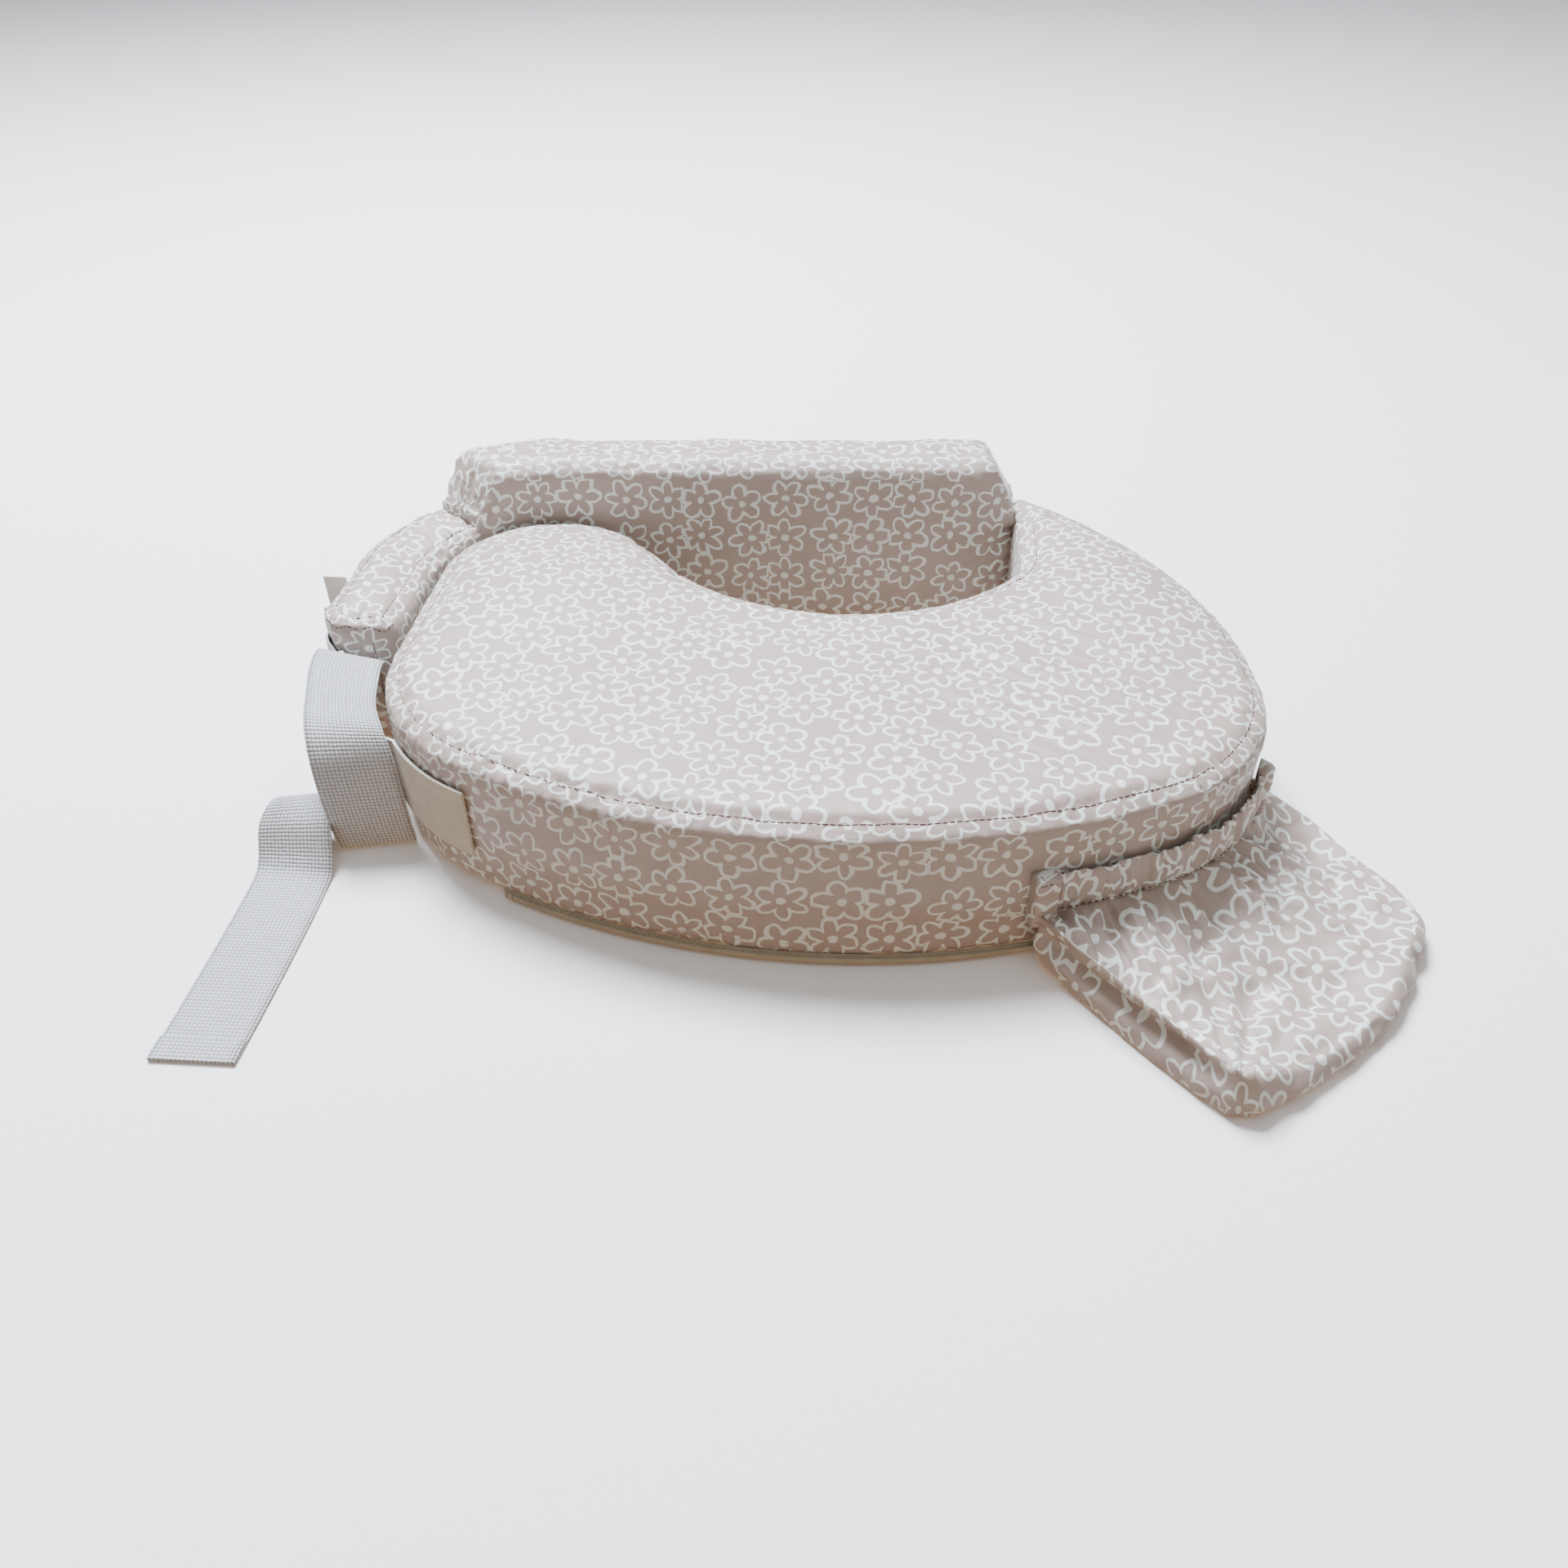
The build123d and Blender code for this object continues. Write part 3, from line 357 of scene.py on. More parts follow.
def plain_weave(name, tint, shade, pitch, strength=0.6, rough=0.8):
    """A plain or twill tape on object coordinates: diagonal ribs `pitch` apart and a dry surface, with painted shade in
    the troughs between the ribs.
    """
    mat, tree, shader = finish_of(name)
    place = add(tree, "ShaderNodeTexCoord").outputs["Object"]
    ribs = add(
        tree,
        "ShaderNodeTexWave",
        {"Vector": place, "Scale": 1 / pitch / 6.28, "Distortion": 0.6, "Detail": 2.0},
        bands_direction="DIAGONAL",
    )
    cloud = add(tree, "ShaderNodeTexNoise", {"Vector": place, "Scale": 120.0, "Detail": 3.0})
    # the `shade` colour follows the low parts of the ribs, so it is painted shade in the troughs; the cloud noise adds
    # a random tone on top
    blend = add(tree, "ShaderNodeMath", {0: ribs.outputs["Fac"], 1: 0.6, 2: cloud.outputs[0]}, operation="MULTIPLY_ADD")
    face = add(tree, "ShaderNodeMix", {0: blend.outputs[0], 6: colour(shade), 7: colour(tint)}, data_type="RGBA")
    tree.links.new(face.outputs[2], shader.inputs["Base Color"])
    bump = add(tree, "ShaderNodeBump", {"Strength": strength, "Distance": pitch * 0.4, "Height": ribs.outputs["Fac"]})
    tree.links.new(bump.outputs[0], shader.inputs["Normal"])
    shader.inputs["Roughness"].default_value = rough
    return mat


def moulded_acetal(name, tint, shade):
    """Injection-moulded acetal: a smooth waxy gloss with a faint flow mottle."""
    mat, tree, shader = finish_of(name)
    place = add(tree, "ShaderNodeTexCoord").outputs["Object"]
    flow = add(tree, "ShaderNodeTexNoise", {"Vector": place, "Scale": 60.0, "Detail": 3.0})
    face = add(tree, "ShaderNodeMix", {0: flow.outputs[0], 6: colour(shade), 7: colour(tint)}, data_type="RGBA")
    tree.links.new(face.outputs[2], shader.inputs["Base Color"])
    spark = add(tree, "ShaderNodeTexNoise", {"Vector": place, "Scale": 1500.0, "Detail": 1.0})
    bump = add(tree, "ShaderNodeBump", {"Strength": 0.12, "Distance": 0.0002, "Height": spark.outputs[0]})
    tree.links.new(bump.outputs[0], shader.inputs["Normal"])
    shader.inputs["Roughness"].default_value = 0.32
    shader.inputs["IOR"].default_value = 1.48
    return mat


def spun_thread(name, tint):
    """Twisted polyester sewing thread: a slight shine, with the twist drawn every 0.5 mm as darker stripes of painted
    shade.
    """
    mat, tree, shader = finish_of(name)
    place = add(tree, "ShaderNodeTexCoord").outputs["Object"]
    twist = add(tree, "ShaderNodeTexWave", {"Vector": place, "Scale": 320.0}, bands_direction="DIAGONAL")
    # the twist's darker stripes are painted shade in the grooves between the plies
    shade = [c * 0.75 for c in colour(tint)[:3]] + [1]
    face = add(tree, "ShaderNodeMix", {0: twist.outputs["Fac"], 6: colour(tint), 7: shade}, data_type="RGBA")
    tree.links.new(face.outputs[2], shader.inputs["Base Color"])
    shader.inputs["Roughness"].default_value = 0.6
    return mat


cotton = printed_cotton("printed_cotton_sateen")
webbing = basket_webbing("basket_weave_webbing", "#D3D9DF", "#8D8A84")
# the anchor strap's tape is coloured a darker cream than the white loose end as painted shade, for the shade it sits in
# behind the loose end
anchor_tape = plain_weave("anchor_tape_painted_shade", "#D8D4C9", "#B9B3A5", 0.0011)
zip_cloth = plain_weave("woven_zip_tape", "#A39C8A", "#857E6D", 0.0009)
zip_nylon = moulded_acetal("zip_coil_nylon", "#B5AE9B", "#958E7B")
zip_paint = moulded_acetal("painted_zip_slider", "#BDB7A7", "#A39C8B")
buckle_finish = moulded_acetal("moulded_acetal_buckle", "#F0F0EC", "#E2E2DC")
label_cloth = plain_weave("satin_label", "#F4F4F2", "#E0E0DE", 0.0006, 0.2, 0.45)
seam_thread = spun_thread("brown_sewing_thread", "#6E5450")
pale_thread = spun_thread("pale_sewing_thread", "#C9B9A8")
dark_thread = spun_thread("dark_sewing_thread", "#54443F")


# ------------------------------------------------------------ padded covers
def padded_cover(node, name, voxel, rise):
    """The foam's shape, puffed out by a short cloth simulation, with the motion capped."""
    source = bpy.data.objects[node]
    mesh = source.data.copy()
    work = bmesh.new()
    work.from_mesh(mesh)
    bmesh.ops.remove_doubles(work, verts=work.verts, dist=1e-5)
    work.to_mesh(mesh)
    work.free()
    piece = bpy.data.objects.new(name, mesh)
    scene.collection.objects.link(piece)
    piece.matrix_world = source.matrix_world
    grid = piece.modifiers.new("grid", "REMESH")
    grid.mode, grid.voxel_size = "VOXEL", voxel
    applied(piece)
    rest = points_of(piece.data)
    cloth = piece.modifiers.new("puff", "CLOTH")
    cloth.settings.quality = 4
    cloth.settings.use_pressure = True
    cloth.settings.uniform_pressure_force = 4.0
    cloth.settings.effector_weights.gravity = 0.0
    cloth.point_cache.frame_start, cloth.point_cache.frame_end = 1, 16
    for number in range(1, 17):
        scene.frame_set(number)
    applied(piece)
    scene.frame_set(1)
    moved = points_of(piece.data) - rest
    flat = np.linalg.norm(moved[:, :2], axis=1, keepdims=True)
    moved[:, :2] *= np.minimum(1, 0.0012 / np.maximum(flat, 1e-6))
    moved[:, 2] = np.clip(moved[:, 2], -0.001, rise)
    put_points(piece.data, rest + moved)
    finer = piece.modifiers.new("finer", "SUBSURF")
    finer.levels = finer.render_levels = 1
    applied(piece)
    return piece


def sew(mesh, line, top, seam, depth, pucker, extra=None):
    """Draws the top seam in and gathers the cloth each side of it, then presses the base flat."""
    points, normals = points_of(mesh), normals_of(mesh)
    along, far = line.place(points)
    up = step(points[:, 2], top - 0.034, top - 0.012) * (normals[:, 2] > -0.2)
    off = far - seam
    wave = np.array([noise.noise(Vector((s / 0.0085, f * 22, 3.1))) for s, f in zip(along, far)])
    wave = np.clip(0.9 - 3.4 * np.abs(wave), -0.6, 0.9)
    slow = np.array([noise.noise(Vector((s / 0.045, 7.7, 0))) for s in along])
    gather = np.where(off < 0, np.exp(-np.abs(off + 0.005) / 0.013), np.exp(-np.abs(off) / 0.005))
    strength = pucker(points) * (0.65 + 0.6 * slow)
    push = up * (-depth * np.exp(-(off / 0.0022) ** 2) + strength * gather * wave)
    push += 0.0006 * grain(points, 24.0, 2.0) + 0.00025 * grain(points, 85.0, 5.0)
    side = (np.abs(normals[:, 2]) < 0.6) * step(points[:, 2], 0.003, 0.012)
    push += 0.0012 * side
    moved = points + normals * push[:, None]
    if extra is not None:
        moved += extra(points, normals, along, far)
    foot = points[:, 2] < 0.004
    moved[foot, 2] = 0.0016
    moved[:, 2] = np.maximum(moved[:, 2], 0.0016)
    put_points(mesh, moved)


def lay_print(mesh, line, top, seam, turn=0.0):
    """Gives each panel its own flat cloth coordinates in metres: top and base lie as cut,
    the side band is rolled out along its length, and a hinged end lies as its own panel."""
    points = points_of(mesh)
    along, far = line.place(points)
    mesh.uv_layers.new(name="cloth")
    uv = mesh.uv_layers["cloth"].data
    c, s = math.cos(turn), math.sin(turn)
    for face in mesh.polygons:
        n, centre = face.normal, face.center
        inside = np.mean([far[v] for v in face.vertices])
        if n.z > 0.35 and inside > seam and centre.z > top - 0.05:
            kind = "top"
        elif n.z < -0.75 and centre.z < 0.01:
            kind = "base"
        elif inside > 0.004 and centre.z < top - 0.01 and abs(n.z) < 0.75:
            kind = "end"
        else:
            kind = "band"
        first = along[face.vertices[0]]
        for loop, v in zip(face.loop_indices, face.vertices):
            p = points[v]
            if kind == "band":
                a = along[v]
                a += line.length * round((first - a) / line.length)
                rolled = p[2] + (far[v] if p[2] > top - 0.014 else 0.0)
                uv[loop].uv = (a + 0.31, rolled + 0.57)
            elif kind == "end":
                uv[loop].uv = ((p[1] if centre.x > 0 else 0.68 * p[1] - 0.73 * p[0]) + 0.4, p[2] + 0.57)
            else:
                uv[loop].uv = (p[0] * c - p[1] * s + 1.0, p[0] * s + p[1] * c + (1.0 if kind == "top" else 2.0))


shelf_edge, back_edge, arm_edge = Line(shelf_line()), Line(back_line()), Line(arm_line())
SHELF_TOP, BACK_TOP = 0.105, 0.147


def mound(points, x, y, wide, high):
    return high * np.exp(-((points[:, 0] - x) ** 2 + (points[:, 1] - y) ** 2) / wide ** 2)


def to_hinges(points, normals):
    """Brings a cover's end up to the fabric hinge that it is sewn to."""
    out = np.zeros_like(points)
    for x, y, angle in ((-0.3135, 0.2053, 47.0), (0.1368, 0.2691, 184.5)):
        across = np.array([-math.sin(math.radians(angle - 90)), math.cos(math.radians(angle - 90)), 0])
        gap = (points - np.array([x, y, 0])) @ across
        facing = normals @ across
        move = -gap * (np.abs(gap) < 0.005) * (np.abs(facing) > 0.5) * 0.8
        out += move[:, None] * across
    return out


def shelf_swell(points, normals, along, far):
    """Soft rises of the stuffing under the lobe and at the root of the right arm, and creases."""
    on_top = step(points[:, 2], SHELF_TOP - 0.02, SHELF_TOP - 0.004) * step(normals[:, 2], 0.2, 0.8)
    high = mound(points, -0.205, 0.085, 0.085, 0.011) + mound(points, 0.205, 0.105, 0.080, 0.009)
    slant = points[:, 0] * 0.55 + points[:, 1] * 0.83
    crease = np.array([noise.noise(Vector((q / 0.006, p[0] * 9, 1.3))) for q, p in zip(slant, points)])
    near = np.exp(-((points[:, 0] - 0.16) ** 2 + (points[:, 1] + 0.01) ** 2) / 0.085 ** 2)
    out = np.zeros_like(points)
    out[:, 2] = on_top * (high * step(far, 0.004, 0.05) + 0.0030 * crease * near)
    return out


def shelf_gathers(points):
    left = np.exp(-((points[:, 0] + 0.17) ** 2 + (points[:, 1] + 0.13) ** 2) / 0.13 ** 2)
    right = np.exp(-((points[:, 0] - 0.24) ** 2 + (points[:, 1] + 0.09) ** 2) / 0.10 ** 2)
    return 0.0004 + 0.0027 * left + 0.0023 * right


shelf_cover = padded_cover("shelf_foam", "shelf_cover", 0.0052, 0.004)
sew(shelf_cover.data, shelf_edge, SHELF_TOP, SHELF_SEAM, 0.0014, shelf_gathers, shelf_swell)
lay_print(shelf_cover.data, shelf_edge, SHELF_TOP, SHELF_SEAM, 0.3)


def back_swell(points, normals, along, far):
    """Fans of pleats at both ends, and a slack, wandering top front edge."""
    left = np.exp(-((points[:, 0] + 0.285) ** 2 + (points[:, 1] - 0.195) ** 2) / 0.035 ** 2)
    left *= step(points[:, 2], 0.135, 0.110)
    right = np.exp(-((points[:, 0] - 0.132) ** 2 + (points[:, 1] - 0.235) ** 2) / 0.040 ** 2)
    fan_left = np.array([
        noise.noise(Vector((math.atan2(p[1] - 0.165, p[0] + 0.30) * 9, p[2] * 30, 0))) for p in points
    ])
    fan_right = np.array([
        noise.noise(Vector((math.atan2(p[2] - 0.09, p[0] - 0.15) * 7, p[1] * 20, 4))) for p in points
    ])
    slack = np.array([noise.noise(Vector((s / 0.05, p[2] * 12, 9))) for s, p in zip(along, points)])
    push = 0.0036 * left * fan_left + 0.0042 * right * fan_right + 0.0020 * slack
    return normals * push[:, None] + to_hinges(points, normals)


back_cover = padded_cover("back_foam", "back_cover", 0.0050, 0.002)
sew(back_cover.data, back_edge, BACK_TOP, 0.010, 0.0003, lambda p: 0.0003 + 0 * p[:, 0], back_swell)
lay_print(back_cover.data, back_edge, BACK_TOP, 0.020, 0.1)


def arm_swell(points, normals, along, far):
    """Heavy gathers over the free end and where the arm meets the back rest."""
    end = np.exp(-((points[:, 1] - 0.026) / 0.020) ** 2)
    root = np.exp(-((points[:, 0] + 0.298) ** 2 + (points[:, 1] - 0.175) ** 2) / 0.035 ** 2)
    tuck = np.array([noise.noise(Vector((p[0] / 0.008, p[2] / 0.045, 2))) for p in points])
    fan = np.array([noise.noise(Vector((math.atan2(p[1] - 0.15, p[0] + 0.28) * 8, p[2] * 25, 6))) for p in points])
    return normals * (0.0040 * end * tuck + 0.0036 * root * fan)[:, None] + to_hinges(points, normals)


arm_cover = padded_cover("arm_foam", "arm_cover", 0.0040, 0.005)
sew(arm_cover.data, arm_edge, SHELF_TOP, ARM_SEAM, 0.0012, lambda p: 0.0007 + 0 * p[:, 0], arm_swell)
lay_print(arm_cover.data, arm_edge, SHELF_TOP, ARM_SEAM, 1.2)

COVERED = {
    "shelf": ("shelf_foam", "shelf_top_panel", "shelf_inner_band", "shelf_outer_band", "shelf_base_panel"),
    "back_rest": ("back_foam", "back_top_panel", "back_inner_wall", "back_outer_wall", "back_base_panel"),
    "left_arm": (
        "arm_foam", "arm_top_panel", "arm_inner_wall", "arm_outer_wall", "arm_end_panel", "arm_base_panel",
    ),
}
for cover, body, fill in ((shelf_cover, "shelf", 0.9), (back_cover, "back_rest", 0.9), (arm_cover, "left_arm", 0.8)):
    cover.data.materials.clear()
    cover.data.materials.append(cotton)
    smooth(cover)
    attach(cover, body)
    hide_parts(*COVERED[body])


# ------------------------------------------------------------ stitching
def surface_of(piece):
    mesh = piece.data
    return BVHTree.FromPolygons([v.co for v in mesh.vertices], [p.vertices for p in mesh.polygons])


def thin_out(points, pitch):
    """The same line with its points `pitch` apart."""
    kept, left = [Vector(points[0])], 0.0
    for a, b in zip(points, points[1:]):
        a, b = Vector(a), Vector(b)
        gap = (b - a).length
        while left + gap >= pitch and gap > 1e-9:
            t = (pitch - left) / gap
            a = a.lerp(b, t)
            kept.append(a.copy())
            gap, left = (b - a).length, 0.0
        left += gap
    return kept


def stitches(name, body, spots, length, radius, thread):
    """Short beads of thread from point to point, each sunk a little in the cloth."""
    work = bmesh.new()
    for a, b in zip(spots, spots[1:]):
        along = b - a
        if along.length < 1e-6 or along.length > 0.02:
            continue
        place = Matrix.Translation((a + b) / 2) @ along.to_track_quat("Z", "Y").to_matrix().to_4x4()
        made = bmesh.ops.create_icosphere(work, subdivisions=1, radius=radius)["verts"]
        bmesh.ops.scale(work, verts=made, vec=(1, 1, length / 2 / radius))
        bmesh.ops.transform(work, verts=made, matrix=place)
    mesh = bpy.data.meshes.new(name)
    work.to_mesh(mesh)
    work.free()
    return piece_of(mesh, name, body, thread)


def on_top(tree, points, lift):
    spots = []
    for x, y in points:
        hit = tree.ray_cast(Vector((x, y, 0.3)), Vector((0, 0, -1)))[0]
        if hit:
            spots.append(hit + Vector((0, 0, lift)))
    return spots


def on_wall(tree, points, z, lift):
    """Points on the cover's side, found from outside the line at height z."""
    spots = []
    for x, y in points:
        near = tree.find_nearest(Vector((x, y, z)))
        spots.append(near[0] + near[1] * lift)
    return spots


shelf_skin, back_skin, arm_skin = surface_of(shelf_cover), surface_of(back_cover), surface_of(arm_cover)
top_seam = thin_out([(*p, 0) for p in shelf_line(SHELF_SEAM)], 0.0042)
top_spots = on_top(shelf_skin, [(p.x, p.y) for p in top_seam], 0.0001)
stitches("shelf_top_stitching", "shelf", top_spots, 0.0040, 0.00042, seam_thread)
foot_line = arc(FRONT, FRONT_RADIUS, -66.0, -117.49) + arc(LEFT_SIDE, SIDE_RADIUS, -117.49, -150)
foot_seam = thin_out([(*p, 0) for p in foot_line], 0.0046)
foot_spots = on_wall(shelf_skin, [(p.x, p.y) for p in foot_seam], 0.0155, 0.0001)
stitches("zip_top_stitching", "shelf", foot_spots, 0.0034, 0.00035, pale_thread)
arm_seam = thin_out([(*p, 0) for p in arm_line(ARM_SEAM)], 0.0042)
arm_spots = on_top(arm_skin, [(p.x, p.y) for p in arm_seam], 0.0)
stitches("arm_top_stitching", "left_arm", arm_spots, 0.0038, 0.00045, dark_thread)


end_line = (
    arc((-0.327, 0.050), 0.026, 180, 270)
    + run((-0.327, 0.024), (-0.305, 0.024))
    + arc((-0.305, 0.034), 0.010, 270, 360)
)
end_seam = thin_out([(*p, 0) for p in end_line], 0.0036)
end_row = on_wall(arm_skin, [(p.x, p.y) for p in end_seam], 0.0985, 0.0002)
# the seam crosses the gathers, so it wanders up and down
end_row = [hit + Vector((0, 0, 0.0018 * math.sin(k * 1.3))) for k, hit in enumerate(end_row)]
stitches("arm_end_seam", "left_arm", end_row, 0.0038, 0.0006, dark_thread)
upright = [arm_skin.find_nearest(Vector((-0.311, 0.022, z))) for z in np.arange(0.030, 0.094, 0.0040)]
stitches("arm_end_upright_seam", "left_arm", [hit[0] + hit[1] * 0.0001 for hit in upright], 0.0036, 0.0004, dark_thread)
slant_angle = math.radians(132.5)
slant = [
    (LOBE[0] + r * math.cos(slant_angle), LOBE[1] + r * math.sin(slant_angle)) for r in np.arange(0.096, 0.142, 0.0040)
]
stitches("back_end_stitching", "back_rest", on_top(back_skin, slant, 0.0001), 0.0030, 0.00042, dark_thread)


# ------------------------------------------------------------ ribbons of webbing
def ribbon(name, body, pairs, thickness, material, rows=8):
    """Webbing swept through pairs of edge points: a first edge is extruded from pair to pair."""
    smoothed = []
    pairs = [(Vector(a) * MM, Vector(b) * MM) for a, b in pairs]
    for i in range(len(pairs) - 1):
        p0, p1, p2, p3 = (pairs[max(0, min(len(pairs) - 1, i + k))] for k in (-1, 0, 1, 2))
        for t in np.linspace(0, 1, rows, endpoint=False):
            w = (
                -0.5 * t + t * t - 0.5 * t ** 3,
                1 - 2.5 * t * t + 1.5 * t ** 3,
                0.5 * t + 2 * t * t - 1.5 * t ** 3,
                -0.5 * t * t + 0.5 * t ** 3,
            )
            smoothed.append(tuple(sum((p[side] * f for p, f in zip((p0, p1, p2, p3), w)), Vector()) for side in (0, 1)))
    smoothed.append(pairs[-1])
    work = bmesh.new()
    layer = work.loops.layers.uv.new("cloth")
    across = 8
    start = [work.verts.new(smoothed[0][0].lerp(smoothed[0][1], k / across)) for k in range(across + 1)]
    edges = [work.edges.new((a, b)) for a, b in zip(start, start[1:])]
    rows_of, travelled = [start], [0.0]
    for before, (a, b) in zip(smoothed, smoothed[1:]):
        made = bmesh.ops.extrude_edge_only(work, edges=edges)["geom"]
        verts = [g for g in made if isinstance(g, bmesh.types.BMVert)]
        edges = [g for g in made if isinstance(g, bmesh.types.BMEdge)]
        last = rows_of[-1]
        row = [min(verts, key=lambda v: (v.co - old.co).length) for old in last]
        for k, v in enumerate(row):
            v.co = a.lerp(b, k / across)
        rows_of.append(row)
        travelled.append(travelled[-1] + ((a + b) / 2 - (before[0] + before[1]) / 2).length)
    place = {v: (0.05 * k / across, s) for row, s in zip(rows_of, travelled) for k, v in enumerate(row)}
    for face in work.faces:
        for loop in face.loops:
            loop[layer].uv = place[loop.vert]
    bmesh.ops.recalc_face_normals(work, faces=work.faces)
    mesh = bpy.data.meshes.new(name)
    work.to_mesh(mesh)
    work.free()
    piece = piece_of(mesh, name, body, material)
    wall = piece.modifiers.new("thickness", "SOLIDIFY")
    wall.thickness, wall.offset = thickness, 0.0
    applied(piece)
    smooth(piece)
    return piece, travelled[-1]


tail_pairs = [
    ((-343, 24, 72), (-296, 18, 66)),
    ((-344, 16, 85), (-296, 10, 79)),
    ((-345, 6, 90), (-296, 0, 88)),
    ((-342, -14, 90), (-292, -20, 90)),
    ((-333, -44, 90), (-284, -50, 90)),
    ((-324, -72, 88), (-273, -72, 88)),
    ((-317, -90, 74), (-266, -82, 74)),
    ((-314, -96, 50), (-263, -86, 50)),
    ((-312, -97, 22), (-262, -86, 22)),
    ((-311, -94, 3), (-263, -82, 3)),
    ((-320, -82, 6), (-275, -68, 3)),
    ((-338, -76, 22), (-298, -66, 16)),
    ((-352, -83, 33), (-312, -73, 33)),
    ((-359, -98, 24), (-311, -96, 28)),
    ((-358, -113, 7), (-308, -114, 9)),
    ((-357, -128, 1.4), (-307, -127, 1.4)),
    ((-356, -170, 1.2), (-306, -169, 1.2)),
    ((-356, -225, 1.2), (-306, -224, 1.2)),
    ((-357, -274, 1.2), (-307, -273, 1.2)),
]
strap_tail, tail_length = ribbon("strap_loose_end", "left_arm", tail_pairs, 0.0016, webbing)
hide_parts("strap_tail")
hem_pairs = [
    ((-357, -258, 2.6), (-307, -257, 2.6)),
    ((-357, -266, 2.7), (-307, -265, 2.7)),
    ((-357, -274, 2.4), (-307, -273, 2.4)),
]
hem, _ = ribbon("strap_end_hem", "left_arm", hem_pairs, 0.0014, webbing)


# ------------------------------------------------------------ pocket
def mouth_line(out):
    first = arc(FRONT, FRONT_RADIUS + out, -73.2, -62.51)
    return thin_out([(*p, 0) for p in first + arc(RIGHT_SIDE, SIDE_RADIUS + out, -62.5, -16.0)], 0.0015)


def at(points, t):
    """The point a share t of the way along a line."""
    if isinstance(points, np.ndarray):
        points = [Vector(p) for p in points]
    gaps = [(b - a).length for a, b in zip(points, points[1:])]
    left = t * sum(gaps)
    for a, b, gap in zip(points, points[1:], gaps):
        if left <= gap:
            return a.lerp(b, left / gap if gap else 0)
        left -= gap
    return points[-1].copy()


def sampled(points, count):
    return [at(points, i / (count - 1)) for i in range(count)]


def bent(pairs):
    return [Vector((x * MM, y * MM, z * MM)) for x, y, z in pairs]


POCKET_COLS, POCKET_ROWS = 260, 74
BOXED_CORNER = (0.237, -0.262)
hem_foot = sampled([Vector((p.x, p.y, 0.0400)) for p in mouth_line(0.0052)], POCKET_COLS)
# the bag's ridge: from the binding to the boxed corner, round the outer edge and back to the wall
ridge = sampled(
    bent([
        (140, -158, 38), (160, -182, 34), (190, -212, 30), (216, -238, 30), (236, -258, 30), (249, -258, 27),
        (270, -244, 20), (300, -221, 17), (331, -193, 16), (352, -162, 18), (369, -128, 19), (374, -112, 17),
        (366, -86, 15), (348, -58, 15), (330, -28, 17), (306, -14, 26), (290, -16, 40),
    ]),
    POCKET_COLS,
)
floor_edge = sampled(
    bent([
        (141, -158, 6), (163, -184, 1), (195, -222, 1), (222, -250, 1), (237, -263, 1), (250, -262, 1),
        (274, -248, 1), (304, -225, 1), (335, -196, 1), (357, -164, 1), (374, -130, 1), (378, -113, 1),
        (370, -85, 1), (351, -56, 1), (333, -24, 1), (306, -9, 4), (291, -10, 12),
    ]),
    POCKET_COLS,
)
under = sampled(
    bent([(150, -150, 2), (185, -170, 1), (230, -160, 1), (270, -110, 1), (292, -60, 1), (292, -20, 4)]),
    POCKET_COLS,
)

work = bmesh.new()
bmesh.ops.create_grid(work, x_segments=POCKET_COLS - 1, y_segments=POCKET_ROWS - 1, size=0.5)
layer = work.loops.layers.uv.new("cloth")
flat = {}
for v in work.verts:
    u, r = v.co.x + 0.5, 0.5 - v.co.y
    i = round(u * (POCKET_COLS - 1))
    top_p, ridge_p, floor_p, under_p = hem_foot[i], ridge[i], floor_edge[i], under[i]
    if r < 0.72:
        t = r / 0.72
        p = top_p.lerp(ridge_p, t)
        flat[v] = p.xy.copy()
        drop = (top_p.z - ridge_p.z)
        p.z = ridge_p.z + drop * (1 - t) ** 1.9
        # the sheet is slack: it sags between the mouth and the outer edge
        p.z -= 0.010 * math.sin(math.pi * t) * math.sin(math.pi * min(1, max(0, (u - 0.05) / 0.9)))
        out = (ridge_p - top_p).normalized()
        pleat = noise.noise(Vector((u * 19, t * 1.5, 0))) + 0.6 * noise.noise(Vector((u * 44, t * 2, 5)))
        lift = 0.0135 * pleat * math.exp(-t / 0.30) * min(1, r / 0.05)
        soft = 0.0085 * noise.noise(Vector((p.x * 30, p.y * 30, 8)))
        soft += 0.0034 * noise.noise(Vector((p.x * 75, p.y * 75, 3)))
        # a crease stands up from the left strip's foot to the boxed corner, with a dip behind it
        crease = math.exp(-((u - 0.15) / 0.15) ** 4)
        fold = crease * (0.0070 * math.exp(-((t - 0.97) / 0.10) ** 2) - 0.0060 * math.exp(-((t - 0.62) / 0.16) ** 2))
        from_corner = p.xy - Vector(BOXED_CORNER)
        star = noise.noise(Vector((math.atan2(from_corner.y, from_corner.x) * 6, from_corner.length * 12, 2)))
        close = math.exp(-(p.xy - Vector((0.245, -0.245))).length / 0.05)
        p.z += lift + soft * math.sin(math.pi * t) + fold + 0.0100 * star * close
        p.xy += out.xy * lift * 0.5
    elif r < 0.86:
        t = (r - 0.72) / 0.14
        p = ridge_p.lerp(floor_p, t)
        ahead = (ridge[min(i + 4, POCKET_COLS - 1)] - ridge[max(i - 4, 0)]).xy.normalized()
        outward = Vector((ahead.y, -ahead.x, 0))
        flat[v] = ridge_p.xy + outward.xy * t * (ridge_p - floor_p).length
        tucked = math.exp(-((u - 0.14) / 0.13) ** 4)
        p += outward * 0.0045 * math.sin(math.pi * t) * (1 - tucked)
        p -= outward * 0.0085 * math.sin(math.pi * min(1, t / 0.55)) * tucked
        p += outward * 0.0030 * noise.noise(Vector((u * 34, t * 2, 1))) * math.sin(math.pi * t)
    else:
        t = (r - 0.86) / 0.14
        p = floor_p.lerp(under_p, t)
        flat[v] = p.xy.copy()
    p.z = max(p.z, 0.001)
    v.co = p
